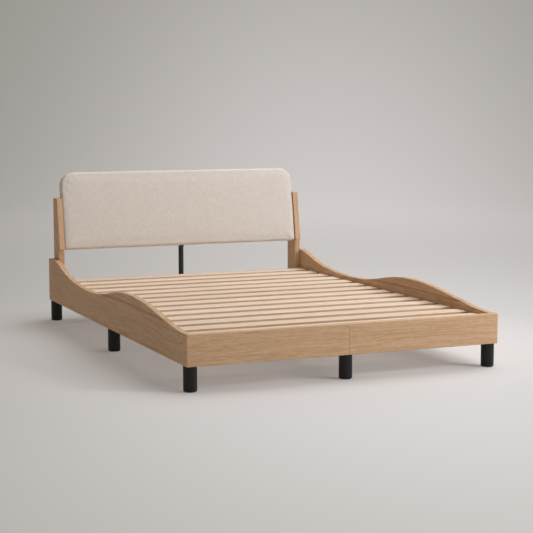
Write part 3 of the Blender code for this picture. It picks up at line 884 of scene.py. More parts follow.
def recess_share(angle: float, recess: Recess, core_share: float = 0.36, sharpness: int = 6) -> float:
    """Return a recess's radius as a share of its largest.

    Args:
        angle: The way from the middle, in radians.
        recess: The recess's form.
        core_share: How far a cross reaches between its arms.
        sharpness: How thin a cross's arms are.

    Returns:
        The share.
    """
    if recess is Recess.CROSS:
        return core_share + (1 - core_share) * abs(math.cos(2 * angle)) ** sharpness
    side = 2 * math.pi / recess.value
    return math.cos(side / 2) / math.cos(angle % side - side / 2)


def extruded(name: str, outline: Sequence[Flat], depth: Flat, radius: float, steps: int = 3) -> Mesh:
    """Return a flat outline given a thickness, with every edge rounded.

    Args:
        name: The mesh's name.
        outline: The outline's corners in the XY plane.
        depth: The heights of its two faces.
        radius: The edges' radius.
        steps: How many faces each rounding has.

    Returns:
        The mesh.
    """
    mesh = loft(name, [[Vector((x, y, height)) for x, y in outline] for height in depth])
    rounding = {"width": radius, "segments": steps, "limit_method": "ANGLE", "angle_limit": CORNER_OVER}
    return modified(mesh, "BEVEL", **rounding)


def turned_to(mesh: Mesh, matrix: Matrix) -> Mesh:
    """Return a mesh whose points a matrix has moved.

    Args:
        mesh: The mesh, which is changed.
        matrix: The move.

    Returns:
        The same mesh.
    """
    mesh.transform(matrix)
    mesh.update()
    return mesh


def upright() -> Matrix:
    """Return the turn that stands an XY outline in the bed's YZ plane."""
    return Matrix(((0, 0, 1, 0), (1, 0, 0, 0), (0, 1, 0, 0), (0, 0, 0, 1)))


def pointing(way: Vector) -> Matrix:
    """Return the turn that leads the Z axis to a way."""
    return way.to_track_quat("Z", "Y").to_matrix().to_4x4()


def turned_at(node: str, profile: Sequence[tuple], segments: int) -> Mesh:
    """Return the solid that a profile, as lathe takes it, turns around a node's own upright axis."""
    centre = point_in(node, 0.5, 0.5, 0.0)
    return turned_to(faired(lathe(node, profile, segments)), Matrix.Translation((centre.x, centre.y, 0)))


def point_in(node: str, *shares: float) -> Vector:
    """Return the point at shares of a node's box along X, Y and Z."""
    low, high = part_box(node)
    return Vector([start + (end - start) * share for start, end, share in zip(low, high, shares)])


def outermost(node: str) -> float:
    """Return how far a node reaches from the bed's middle plane."""
    return max(abs(corner.x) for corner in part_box(node))


def kept(value: float, low: float = 0.0, high: float = 1.0) -> float:
    """Return a value kept between two others."""
    return max(low, min(high, value))


# Frame of the bed


@dataclass(frozen=True)
class Wave:
    """The top edge of a side rail, as heights above the rail's bottom and places from its ends."""

    foot_height: float = 0.135
    trough_height: float = 0.139
    crest_height: float = 0.2025
    head_height: float = 0.224
    head_flat: float = 0.100
    foot_flat: float = 0.028
    trough_from_head: float = 0.737
    crest_from_head: float = 1.410
    drop_shares: Flat = (0.197, 0.692)
    rise_shares: Flat = (0.490, 0.456)
    fall_shares: Flat = (0.402, 0.314)
    steps: int = 46

    def line(self, foot: float, head: float) -> list[Flat]:
        """Return the edge from the head to the foot.

        Args:
            foot: Y of the rail's foot end.
            head: Y of its head end.

        Returns:
            (Y, height) points.
        """
        knots = (
            (head - self.head_flat, self.head_height),
            (head - self.trough_from_head, self.trough_height),
            (head - self.crest_from_head, self.crest_height),
            (foot + self.foot_flat, self.foot_height),
        )
        shares = (self.drop_shares, self.rise_shares, self.fall_shares)
        points = []
        for start, end, (out_share, in_share) in zip(knots, knots[1:], shares):
            span = start[0] - end[0]
            handles = (start[0] - out_share * span, end[0] + in_share * span)
            for step in range(self.steps):
                t = step / self.steps
                weights = ((1 - t) ** 3, 3 * t * (1 - t) ** 2, 3 * t * t * (1 - t), t**3)
                y = sum(w * v for w, v in zip(weights, (start[0], *handles, end[0])))
                height = (weights[0] + weights[1]) * start[1] + (weights[2] + weights[3]) * end[1]
                points.append((y, height))
        return points

    def height_at(self, line: Sequence[Flat], y: float) -> float:
        """Return the edge's height at one place.

        Args:
            line: The edge, as line gives it.
            y: The place's Y.

        Returns:
            The height above the rail's bottom.
        """
        if y >= line[0][0]:
            return self.head_height
        for (high_y, high), (low_y, low) in zip(line, line[1:]):
            if low_y <= y <= high_y:
                return low + (high - low) * (y - low_y) / (high_y - low_y)
        return self.foot_height


@dataclass(frozen=True)
class OakFrame:
    """Side rails with a wave along the top, and the foot and head rails in two halves."""

    wave: Wave = Wave()
    edge_radius: float = 0.005
    head_rail_edge_radius: float = 0.002
    seam_chamfer: float = 0.0011
    end_steps: int = 4
    corner_radius: float = 0.006
    corner_steps: int = 4
    grain_follows_share: float = 0.12
    bolt_hole_radius: float = 0.0053
    bolt_hole_depth: float = 0.011
    hole_sides: int = 24
    board_shift: float = 0.02
    foot_seed: int = 21
    head_seed: int = 41

    def build(self) -> None:
        """Make the six rails."""
        for name, side in SIDES:
            self.side_rail(name, side)
            self.foot_rail(name, side)
            self.head_rail(name, side)

    def side_rail(self, name: str, side: int) -> None:
        """Make one side rail.

        Args:
            name: left or right.
            side: -1 or 1.
        """
        low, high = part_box("side_rail_" + name)
        outer, inner = (high.x, low.x) if side > 0 else (low.x, high.x)
        foot, head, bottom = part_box("foot_rail_" + name)[0].y, high.y, low.z
        thickness = high.x - low.x
        line = self.wave.line(foot, head)
        rounding = quarter(self.edge_radius, self.end_steps)
        stations = [(head - back, self.wave.head_height, inset) for back, inset in rounding]
        mitre_room = thickness + 2 * GAP
        stations += [(y, height, 0.0) for y, height in line if y > foot + mitre_room]
        stations.append((foot + mitre_room, self.wave.height_at(line, foot + mitre_room), 0.0))
        rings = [
            [Vector((x, y, z)) for x, z in self.section(low.x, high.x, bottom, height, inset)]
            for y, height, inset in stations
        ]
        last = self.section(low.x, high.x, bottom, self.wave.foot_height, 0.0)
        for step in range(self.corner_steps + 1):
            turned = [(self.round_corner(abs(outer - x), step / self.corner_steps), z) for x, z in last]
            rings.append([Vector((outer - side * inset, foot + along, z)) for (inset, along), z in turned])
        bolt = point_in("corner_bolt_" + name, 0.5, 0.5, 0.5)
        drill = self.drill(Vector((outer, bolt.y, bolt.z)), side)
        mesh = faired(without(loft("rail", rings), [drill]))
        shift = Vector((0.0, 0.0, side * self.board_shift))

        def grain(point: Vector) -> Vector:
            """Return a point's place in the grain, which follows the wave a little."""
            lift = self.grain_follows_share * (self.wave.height_at(line, point.y) - self.wave.foot_height)
            return Vector((point.y, point.z - bottom - lift, abs(outer - point.x))) + shift

        write_grain(mesh, grain)
        place_piece("oak_side_rail_" + name, mesh, OAK_RAIL, ["side_rail_" + name])

    def round_corner(self, inset: float, share: float) -> Flat:
        """Lead a point round the corner of the bed to the mitre.

        Args:
            inset: How far the point lies behind its rail's outer face.
            share: How far round the corner it is, from 0 to 1 at the mitre.

        Returns:
            Its distances behind the rail's outer face and from the bed's corner.
        """
        if inset >= self.corner_radius:
            return inset, inset + GAP / 2 + (1 - share) * GAP
        angle = math.pi / 4 * share
        reach = self.corner_radius - inset
        behind = self.corner_radius - reach * math.cos(angle)
        return behind, self.corner_radius - reach * math.sin(angle) + GAP / 2

    def section(self, low_x: float, high_x: float, bottom: float, height: float, inset: float) -> list[Flat]:
        """Return a side rail's section as (X, Z) points, drawn in by an inset as at its rounded end."""
        radius = max(self.edge_radius - inset, self.edge_radius / 5)
        return rounded_loop((low_x + inset, bottom), (high_x - inset, bottom + height), radius)

    def drill(self, place: Vector, side: int) -> Mesh:
        """Return the solid that a corner bolt's sunk hole takes out of a side rail.

        Args:
            place: The hole's middle on the outer face.
            side: -1 or 1.

        Returns:
            The mesh.
        """
        depth, flare = self.bolt_hole_depth, self.seam_chamfer / 2
        rim = self.bolt_hole_radius + flare
        profile = [
            (0, depth),
            (rim + depth, depth),
            (rim, 0),
            (self.bolt_hole_radius, -flare),
            (self.bolt_hole_radius, -depth),
            (0, -depth),
        ]
        turn = Matrix.Translation(place) @ pointing(Vector((side, 0, 0)))
        return turned_to(lathe("drill", profile, self.hole_sides), turn)

    def cross_rail(self, node: str, rings: list[Ring], seed: int) -> None:
        """Finish one half of a rail that crosses the bed.

        Args:
            node: The solid that it stands for.
            rings: Its sections from the outer end to the middle of the bed.
            seed: Sets its place in the log.
        """
        mesh = faired(loft(node, rings))
        write_grain(mesh, straight_grain(Axis.X, seed))
        place_piece("oak_" + node, mesh, OAK, [node])

    def foot_rail(self, name: str, side: int) -> None:
        """Make one half of the foot rail, mitred outside and butted in the middle.

        Args:
            name: left or right.
            side: -1 or 1.
        """
        low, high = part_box("foot_rail_" + name)
        outer = side * outermost("side_rail_" + name)
        thickness = high.y - low.y
        full = rounded_loop((low.y, low.z), (high.y, high.z), self.edge_radius)
        rings = []
        for step in range(self.corner_steps, -1, -1):
            turned = [(self.round_corner(y - low.y, step / self.corner_steps), z) for y, z in full]
            rings.append([Vector((outer - side * along, low.y + inset, z)) for (inset, along), z in turned])
        rings.append([Vector((outer - side * (thickness + 2 * GAP), y, z)) for y, z in full])
        rings += self.seam_rings(side, low, high, self.edge_radius)
        self.cross_rail("foot_rail_" + name, rings, self.foot_seed + side)

    def seam_rings(self, side: int, low: Vector, high: Vector, radius: float) -> list[Ring]:
        """Return the last two sections of a half rail, chamfered where it meets the other half.

        Args:
            side: -1 or 1.
            low: The half rail's lowest corner.
            high: Its highest corner.
            radius: The radius of its long edges.

        Returns:
            The sections.
        """
        rings = []
        for inset, x in ((0.0, self.seam_chamfer + GAP / 2), (self.seam_chamfer, GAP / 2)):
            start, end = (low.y + inset, low.z + inset), (high.y - inset, high.z - inset)
            rings.append([Vector((side * x, y, z)) for y, z in rounded_loop(start, end, radius - inset / 2)])
        return rings

    def head_rail(self, name: str, side: int) -> None:
        """Make one half of the head rail, square at the post and butted in the middle.

        Args:
            name: left or right.
            side: -1 or 1.
        """
        node = "head_rail_" + name
        low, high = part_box(node)
        full = rounded_loop((low.y, low.z), (high.y, high.z), self.head_rail_edge_radius)
        rings = [[Vector((side * outermost(node), y, z)) for y, z in full]]
        rings += self.seam_rings(side, low, high, self.head_rail_edge_radius)
        self.cross_rail(node, rings, self.head_seed + side)


@dataclass(frozen=True)
class OakPosts:
    """Headboard posts with their leaning cheeks."""

    cheek_depth: float = 0.050
    edge_radius: float = 0.0025
    post_seed: int = 60
    cheek_seed: int = 70

    def build(self) -> None:
        """Make both posts and both cheeks."""
        for name, side in SIDES:
            low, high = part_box("headboard_post_" + name)
            cheek_low, cheek_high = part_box("headboard_cheek_" + name)
            joint = cheek_low.y + self.cheek_depth
            shift = cheek_high.y - joint
            shoulder = cheek_low.z - GAP
            post = [
                (low.y, low.z),
                (high.y, low.z),
                (high.y, high.z),
                (joint + shift + GAP, high.z),
                (joint + GAP, shoulder),
                (low.y, shoulder),
            ]
            cheek = [
                (cheek_low.y, cheek_low.z),
                (joint, cheek_low.z),
                (cheek_high.y, cheek_high.z),
                (cheek_low.y + shift, cheek_high.z),
            ]
            lean = math.atan2(shift, cheek_high.z - cheek_low.z)
            across = (low.x, high.x)
            self.upright_board("headboard_post_" + name, post, across, 0.0, self.post_seed + side)
            self.upright_board("headboard_cheek_" + name, cheek, across, lean, self.cheek_seed + side)

    def upright_board(self, node: str, outline: list[Flat], across: Flat, lean: float, seed: int) -> None:
        """Make one upright board.

        Args:
            node: The solid that it stands for.
            outline: Its (Y, Z) outline.
            across: Its lowest and its highest X.
            lean: How far its grain leans back, in radians.
            seed: Sets its place in the log.
        """
        name = node.replace("headboard", "oak")
        mesh = faired(turned_to(extruded(name, outline, across, self.edge_radius), upright()))
        straight = straight_grain(Axis.Z, seed)
        turn = Matrix.Rotation(lean, 3, "X")
        write_grain(mesh, lambda point: straight(turn @ point))
        place_piece(name, mesh, OAK, [node])


@dataclass(frozen=True)
class PineBase:
    """Slats in a row, the ledges and the beam that carry them, and the blocks that join the frame."""

    count: int = 14
    slat_edge_radius: float = 0.0015
    sawn_edge_radius: float = 0.0012
    tone_spread: float = 0.16
    slat_edge_steps: int = 3
    sawn_edge_steps: int = 2
    first_seed: int = 100

    def build(self) -> None:
        """Make the slats and the sawn pieces under them."""
        self.slats()
        sawn = (
            ("slat_ledge_left", Axis.Y),
            ("slat_ledge_right", Axis.Y),
            ("centre_beam", Axis.Y),
            ("corner_block_left", Axis.Z),
            ("corner_block_right", Axis.Z),
            ("side_block_left", Axis.Y),
            ("side_block_right", Axis.Y),
            ("joint_block_foot", Axis.X),
            ("joint_block_head", Axis.X),
            ("beam_block", Axis.X),
        )
        for seed, (node, axis) in enumerate(sawn, start=self.first_seed):
            low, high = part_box(node)
            outline = [(low.x, low.y), (high.x, low.y), (high.x, high.y), (low.x, high.y)]
            depth = (low.z, high.z)
            mesh = faired(extruded(node, outline, depth, self.sawn_edge_radius, self.sawn_edge_steps))
            write_grain(mesh, straight_grain(axis, seed))
            place_piece("pine_" + node, mesh, PINE_SAWN_PAINTED_SHADE, [node])

    def slats(self) -> None:
        """Make the whole row of slats from the first and the last solid."""
        names = [f"slat_{number:02d}" for number in range(1, self.count + 1)]
        first_low, first_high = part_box(names[0])
        last_low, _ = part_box(names[-1])
        size = first_high - first_low
        sizes = {
            "Count": self.count,
            "First": (first_low.y + first_high.y) / 2,
            "Pitch": (first_low.y - last_low.y) / (self.count - 1),
            "Length": size.x,
            "Width": size.y,
            "Thickness": size.z,
            "Top": first_high.z,
            "Tone Spread": self.tone_spread,
            "Wood": PINE.material(),
        }
        row = evaluated(bpy.data.meshes.new("slats"), lambda piece: add_tree(piece, slat_row_tree(), sizes))
        mesh = modified(row, "BEVEL", width=self.slat_edge_radius, segments=self.slat_edge_steps)
        place_piece("pine_slats", faired(mesh), PINE, names)


# Geometry trees


class TreeBuilder(Graph):
    """A geometry tree with named inputs and one geometry output."""

    def __init__(self, name: str, inputs: dict[str, str]) -> None:
        """Start a tree.

        Args:
            name: The tree's name.
            inputs: Input name to socket type, after the geometry that every tree takes.
        """
        super().__init__(bpy.data.node_groups.new(name, "GeometryNodeTree"))
        interface = self.tree.interface
        interface.new_socket("Geometry", in_out="INPUT", socket_type="NodeSocketGeometry")
        for label, kind in inputs.items():
            interface.new_socket(label, in_out="INPUT", socket_type=kind)
        interface.new_socket("Geometry", in_out="OUTPUT", socket_type="NodeSocketGeometry")
        self.given = self.add("NodeGroupInput").outputs

    def triple(self, x: Value = 0.0, y: Value = 0.0, z: Value = 0.0) -> Socket:
        """Return a vector of three numbers or sockets."""
        return self.add("ShaderNodeCombineXYZ", {0: x, 1: y, 2: z}).outputs[0]

    def store(self, geometry: Socket, name: str, value: Socket, kind: str, domain: str = "POINT") -> Socket:
        """Store a named attribute.

        Args:
            geometry: The geometry that gets it.
            name: The attribute's name.
            value: The socket that holds it.
            kind: FLOAT or FLOAT_VECTOR.
            domain: POINT, FACE or INSTANCE.

        Returns:
            The geometry with the attribute.
        """
        inputs = {"Geometry": geometry, "Name": name, "Value": value}
        settings = {"data_type": kind, "domain": domain}
        return self.add("GeometryNodeStoreNamedAttribute", inputs, **settings).outputs[0]

    def named(self, name: str, kind: str) -> Socket:
        """Return a named attribute as a field."""
        return self.add("GeometryNodeInputNamedAttribute", {"Name": name}, data_type=kind).outputs[0]

    def dice(self, low: Value, high: Value, kind: str, seed: int) -> Socket:
        """Return a random field between two values.

        Args:
            low: The lowest value.
            high: The highest value.
            kind: FLOAT or FLOAT_VECTOR.
            seed: Sets the draw.

        Returns:
            The field.
        """
        node = self.add("FunctionNodeRandomValue", {"Seed": seed}, data_type=kind)
        for label, value in (("Min", low), ("Max", high)):
            index = next(i for i, entry in enumerate(node.inputs) if entry.name == label and entry.enabled)
            self.feed(node, {index: value})
        return next(socket for socket in node.outputs if socket.enabled)

    def turned(self, attribute: str, axis: str, pivot: Triple, angle: Socket, space: str) -> Socket:
        """Return a rotation that leads an axis along an attribute and then turns it.

        Args:
            attribute: The attribute that holds the way.
            axis: The axis that is led along it.
            pivot: The axis of the turn that follows.
            angle: The angle of that turn.
            space: GLOBAL, or LOCAL for a turn about the shape's own axes.

        Returns:
            The rotation.
        """
        way = self.named(attribute, "FLOAT_VECTOR")
        aligned = self.add("FunctionNodeAlignRotationToVector", {"Vector": way}, axis=axis).outputs[0]
        turn = self.add("FunctionNodeAxisAngleToRotation", {"Axis": pivot, "Angle": angle}).outputs[0]
        return self.add("FunctionNodeRotateRotation", {0: aligned, 1: turn}, rotation_space=space).outputs[0]

    def laid(self, points: Socket, shape: Socket, **rotation: Socket) -> Socket:
        """Return a shape laid on each point, turned if a rotation is given."""
        inputs = {"Points": points, "Instance": shape} | rotation
        return self.add("GeometryNodeInstanceOnPoints", inputs).outputs[0]

    def real(self, instances: Socket) -> Socket:
        """Return instances made real."""
        return self.add("GeometryNodeRealizeInstances", {"Geometry": instances}).outputs[0]

    def close(self, geometry: Socket, material: Socket) -> Tree:
        """End the tree in dressed geometry.

        Args:
            geometry: The last geometry, made real.
            material: The socket that holds its material.

        Returns:
            The finished tree.
        """
        inputs = {"Geometry": geometry, "Material": material}
        self.add("NodeGroupOutput", {0: self.add("GeometryNodeSetMaterial", inputs).outputs[0]})
        return self.tree


def add_tree(piece: Piece, tree: Tree, values: dict) -> None:
    """Put a geometry tree on a piece.

    Args:
        piece: The object that gets the modifier.
        tree: The geometry tree.
        values: Input name to its value.
    """
    modifier = piece.modifiers.new(tree.name, "NODES")
    modifier.node_group = tree
    for item in tree.interface.items_tree:
        if item.in_out == "INPUT" and item.name in values:
            modifier[item.identifier] = values[item.name]


def slat_row_tree(log_room: Triple = (40.0, 0.04, 0.05)) -> Tree:
    """Return the tree that lays slats in a row, each with its own tone and place in the log, and marks their
    side faces for painted shade between the slats.

    Args:
        log_room: How far along, across and into the grain the slats lie apart in the log.

    Returns:
        The tree.
    """
    sizes = ("First", "Pitch", "Length", "Width", "Thickness", "Top", "Tone Spread")
    kinds = {"Count": "NodeSocketInt"} | dict.fromkeys(sizes, "NodeSocketFloat")
    tree = TreeBuilder("slat_row", kinds | {"Wood": "NodeSocketMaterial"})
    given = tree.given
    half = tree.math("MULTIPLY", given["Thickness"], 0.5)
    start = tree.triple(0.0, given["First"], tree.math("SUBTRACT", given["Top"], half))
    step = tree.triple(0.0, tree.math("MULTIPLY", given["Pitch"], -1.0), 0.0)
    row = tree.add("GeometryNodeMeshLine", {"Count": given["Count"], "Start Location": start, "Offset": step})
    size = tree.triple(given["Length"], given["Width"], given["Thickness"])
    board = tree.add("GeometryNodeMeshCube", {"Size": size}).outputs["Mesh"]
    place = tree.add("GeometryNodeInputPosition").outputs[0]
    board = tree.store(board, GRAIN, place, "FLOAT_VECTOR")
    # Each slat's side faces get 1: painted shade in the gaps between slats.
    normal = tree.add("ShaderNodeSeparateXYZ", {0: tree.add("GeometryNodeInputNormal").outputs[0]})
    painted_side_shade = tree.math("SUBTRACT", 1.0, tree.math("ABSOLUTE", normal.outputs["Z"]))
    board = tree.store(board, SIDE_SHADE, painted_side_shade, "FLOAT", "FACE")
    laid = tree.laid(row.outputs["Mesh"], board)
    shift = tree.dice([-room for room in log_room], log_room, "FLOAT_VECTOR", seed=3)
    laid = tree.store(laid, "shift", shift, "FLOAT_VECTOR", "INSTANCE")
    tones = [tree.math("MULTIPLY", given["Tone Spread"], share) for share in (-0.5, 0.5)]
    laid = tree.store(laid, TONE, tree.dice(*tones, "FLOAT", seed=8), "FLOAT", "INSTANCE")
    place = tree.vector("ADD", tree.named(GRAIN, "FLOAT_VECTOR"), tree.named("shift", "FLOAT_VECTOR"))
    return tree.close(tree.store(tree.real(laid), GRAIN, place, "FLOAT_VECTOR"), given["Wood"])


def fastener_tree() -> Tree:
    """Return the tree that sets a fastener on each point, facing its way and turned at random."""
    tree = TreeBuilder("fasteners", {"Fastener": "NodeSocketObject", "Metal": "NodeSocketMaterial"})
    given = tree.given
    shape = tree.add("GeometryNodeObjectInfo", {"Object": given["Fastener"]}).outputs["Geometry"]
    angle = tree.dice(0.0, 2 * math.pi, "FLOAT", seed=5)
    turn = tree.turned("facing", "Z", (0, 0, 1), angle, "LOCAL")
    return tree.close(tree.real(tree.laid(given["Geometry"], shape, Rotation=turn)), given["Metal"])


def staple_tree() -> Tree:
    """Return the tree that sets staples along a line of edges, slightly askew."""
    kinds = dict.fromkeys(("Spacing", "Crown", "Wire", "Skew"), "NodeSocketFloat")
    tree = TreeBuilder("staples", kinds | {"Metal": "NodeSocketMaterial"})
    given = tree.given
    curve = tree.add("GeometryNodeMeshToCurve", {0: given["Geometry"]}).outputs[0]
    inputs = {"Curve": curve, "Length": given["Spacing"]}
    spaced = tree.add("GeometryNodeResampleCurve", inputs, mode="LENGTH")
    tangent = tree.add("GeometryNodeInputTangent").outputs[0]
    points = tree.store(spaced.outputs[0], "along", tangent, "FLOAT_VECTOR")
    wire = tree.triple(given["Crown"], given["Wire"], given["Wire"])
    staple = tree.add("GeometryNodeMeshCube", {"Size": wire}).outputs["Mesh"]
    angle = tree.dice(tree.math("MULTIPLY", given["Skew"], -1.0), given["Skew"], "FLOAT", seed=4)
    turn = tree.turned("along", "X", (0, 1, 0), angle, "GLOBAL")
    return tree.close(tree.real(tree.laid(points, staple, Rotation=turn)), given["Metal"])


# Legs and metal parts


@dataclass(frozen=True)
class Legs:
    """Nine moulded legs: round cups with a rounded rim."""

    wall: float = 0.014
    top_wall: float = 0.012
    rim_rounding: float = 0.007
    inner_rounding: float = 0.001
    segments: int = 64
    rim_steps: int = 7

    def build(self) -> None:
        """Make every leg."""
        for node in LEG_NODES:
            self.leg(node)

    def leg(self, node: str) -> None:
        """Make one leg.

        Args:
            node: The solid that it stands for.
        """
        low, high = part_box(node)
        radius, top = (high.x - low.x) / 2, high.z
        bore, ceiling, edge = radius - self.wall, top - self.top_wall, self.inner_rounding
        profile = [(0, top), (radius - edge, top), (radius, top - edge)]
        profile += [(radius - inset, z) for inset, z in quarter(self.rim_rounding, self.rim_steps)]
        profile += [(bore + edge, 0), (bore, edge), (bore, ceiling), (0, ceiling)]
        place_piece("moulded_" + node, turned_at(node, profile, self.segments), PLASTIC, [node])


@dataclass(frozen=True)
class Bolts:
    """Button and cap screws with hexagon sockets."""

    chamfer: float = 0.0006
    corner_head_height: float = 0.0050
    flat_head_height: float = 0.0035
    socket_share: float = 0.55
    socket_depth_share: float = 0.60
    shaft_radius: float = 0.003
    sides: int = 36

    def build(self) -> None:
        """Make the seven bolts."""
        for name, side in SIDES:
            self.bolt("corner_bolt_" + name, Vector((side, 0, 0)), self.corner_head_height)
            for level in ("lower", "upper"):
                self.bolt(f"post_bolt_{level}_{name}", Vector((-side, 0, 0)), self.flat_head_height)
        self.bolt("rod_bolt", UP, self.flat_head_height)

    def bolt(self, node: str, way: Vector, head_height: float) -> None:
        """Make one bolt.

        Args:
            node: The solid that it stands for.
            way: The way that its head faces.
            head_height: The height of its head.
        """
        low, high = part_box(node)
        size, centre = high - low, (high + low) / 2
        length = abs(size.dot(way))
        across = size - Vector([abs(v) for v in way]) * length
        radius = max(across) / 2
        depth = -head_height * self.socket_depth_share
        socket = radius * self.socket_share
        profile = [
            (0, depth),
            (socket, depth, Recess.HEXAGON),
            (socket, -self.chamfer, Recess.HEXAGON),
            (socket + self.chamfer / 2, 0),
            (radius - self.chamfer, 0),
            (radius, -self.chamfer),
            (radius, -head_height),
            (self.shaft_radius, -head_height),
            (self.shaft_radius, -length),
            (0, -length),
        ]
        turn = Matrix.Translation(centre + way * length / 2) @ pointing(way)
        mesh = turned_to(faired(lathe(node, profile, self.sides)), turn)
        place_piece("socket_" + node, mesh, POWDER_COAT, [node])


@dataclass(frozen=True)
class PanelPlace:
    """Where the leaning headboard panel stands: a frame with its own depth and height."""

    lean: float = math.radians(9.5)
    thickness: float = 0.050
    board_thickness: float = 0.018
    board_inset: float = 0.003

    def matrix(self) -> Matrix:
        """Return the move from the panel's frame to the bed's."""
        y, z = self.corner()
        return Matrix.Translation((0, y, z)) @ Matrix.Rotation(-self.lean, 4, "X")

    def corner(self) -> Flat:
        """Return Y and Z of the panel's lower front edge, found from the board behind the pad."""
        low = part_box("headboard_board")[0]
        cosine, sine = math.cos(self.lean), math.sin(self.lean)
        front = self.thickness - self.board_thickness
        y = low.y - front * cosine - self.board_inset * sine
        return y, low.z + self.thickness * sine - self.board_inset * cosine


PANEL = PanelPlace()


@dataclass(frozen=True)
class Brackets:
    """Steel angles, the support rod, its foot, strap and bent plate."""

    thickness: float = 0.0025
    edge_radius: float = 0.0006
    edge_steps: int = 2
    board_flange: float = 0.030
    post_flange: float = 0.026
    rail_flange: float = 0.030
    angle_length: float = 0.180
    angle_centre: float = 0.130
    panel_face: float = 0.0515
    rod_wall: float = 0.002
    rod_rounding: float = 0.0015
    rod_segments: int = 40
    rod_foot_rim: float = 0.008
    rod_foot_chamfer: float = 0.003
    spigot_chamfer: float = 0.001
    rounding_share: float = 0.3
    strap_thickness: float = 0.002
    strap_flange: float = 0.022
    strap_steps: int = 28
    plate_thickness: float = 0.003
    plate_length: float = 0.080

    def build(self) -> None:
        """Make the angles and everything of the rod."""
        for name, side in SIDES:
            self.panel_angle(name, side)
            self.rail_angle(name, side)
        self.rod()
        self.rod_foot()
        self.strap()
        self.plate()

    def angle_outline(self, side: int, corner: Flat, cross: float, post: float) -> list[Flat]:
        """Return an angle's section.

        Args:
            side: -1 or 1.
            corner: Its corner's distance from the bed's middle plane, and its Y or depth.
            cross: Width of the flange on the cross piece.
            post: Width of the flange on the post.

        Returns:
            The section's corners.
        """
        outer, front = corner
        inner, back = outer - self.thickness, front + self.thickness
        points = [
            (outer - cross, front),
            (outer, front),
            (outer, front + post),
            (inner, front + post),
            (inner, back),
            (outer - cross, back),
        ]
        return [(side * x, y) for x, y in points]

    def panel_angle(self, name: str, side: int) -> None:
        """Make the long angle between the panel and a post.

        Args:
            name: left or right.
            side: -1 or 1.
        """
        node = "panel_angle_" + name
        corner = (outermost(node), self.panel_face)
        outline = self.angle_outline(side, corner, self.board_flange, self.post_flange)
        depth = (self.angle_centre - self.angle_length / 2, self.angle_centre + self.angle_length / 2)
        mesh = turned_to(extruded(node, outline, depth, self.edge_radius, self.edge_steps), PANEL.matrix())
        place_piece("steel_" + node, faired(mesh), POWDER_COAT, [node])

    def rail_angle(self, name: str, side: int) -> None:
        """Make the short angle behind the head rail.

        Args:
            name: left or right.
            side: -1 or 1.
        """
        node = "head_rail_angle_" + name
        low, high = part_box(node)
        outline = self.angle_outline(side, (outermost(node), low.y), self.rail_flange, self.rail_flange)
        mesh = faired(extruded(node, outline, (low.z, high.z), self.edge_radius, self.edge_steps))
        place_piece("steel_" + node, mesh, POWDER_COAT, [node])

    def rod(self) -> None:
        """Make the tube from its foot to the panel's lower edge."""
        low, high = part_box("support_rod")
        radius, rounding = (high.x - low.x) / 2, self.rod_rounding
        bore, ceiling = radius - self.rod_wall, high.z - self.plate_thickness
        profile = [
            (0, high.z),
            (radius - rounding, high.z),
            (radius - rounding * self.rounding_share, high.z - rounding * self.rounding_share),
            (radius, high.z - rounding),
            (radius, low.z),
            (bore, low.z),
            (bore, ceiling),
            (0, ceiling),
        ]
        mesh = turned_at("support_rod", profile, self.rod_segments)
        place_piece("steel_support_rod", mesh, POWDER_COAT, ["support_rod"])

    def rod_foot(self) -> None:
        """Make the plug that closes the rod at the floor."""
        low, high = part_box("rod_foot")
        radius, edge = (high.x - low.x) / 2, self.rod_foot_chamfer
        spigot = radius - self.rod_wall - GAP
        profile = [
            (0, high.z),
            (spigot - self.spigot_chamfer, high.z),
            (spigot, high.z - self.spigot_chamfer),
            (spigot, self.rod_foot_rim),
            (radius, self.rod_foot_rim),
            (radius, edge),
            (radius - edge * self.rounding_share, edge * self.rounding_share),
            (radius - edge, 0),
            (0, 0),
        ]
        mesh = turned_at("rod_foot", profile, self.rod_segments)
        place_piece("moulded_rod_foot", mesh, PLASTIC, ["rod_foot"])

    def strap(self) -> None:
        """Make the strap that holds the rod against the head rail."""
        low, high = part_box("rod_clamp")
        rod_low, rod_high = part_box("support_rod")
        centre_y = (rod_low.y + rod_high.y) / 2
        inner = (rod_high.x - rod_low.x) / 2 + GAP
        outer = inner + self.strap_thickness
        front, back = low.y, low.y + self.strap_thickness
        reach = outer + self.strap_flange
        angles = [math.pi * step / self.strap_steps for step in range(self.strap_steps + 1)]
        outline = [(inner, front), (reach, front), (reach, back), (outer, back)]
        outline += [(outer * math.cos(a), centre_y + outer * math.sin(a)) for a in angles]
        outline += [(-outer, back), (-reach, back), (-reach, front), (-inner, front)]
        outline += [(inner * math.cos(a), centre_y + inner * math.sin(a)) for a in reversed(angles)]
        mesh = faired(extruded("strap", outline, (low.z, high.z), self.edge_radius / 2, 1))
        place_piece("steel_rod_clamp", mesh, POWDER_COAT, ["rod_clamp"])

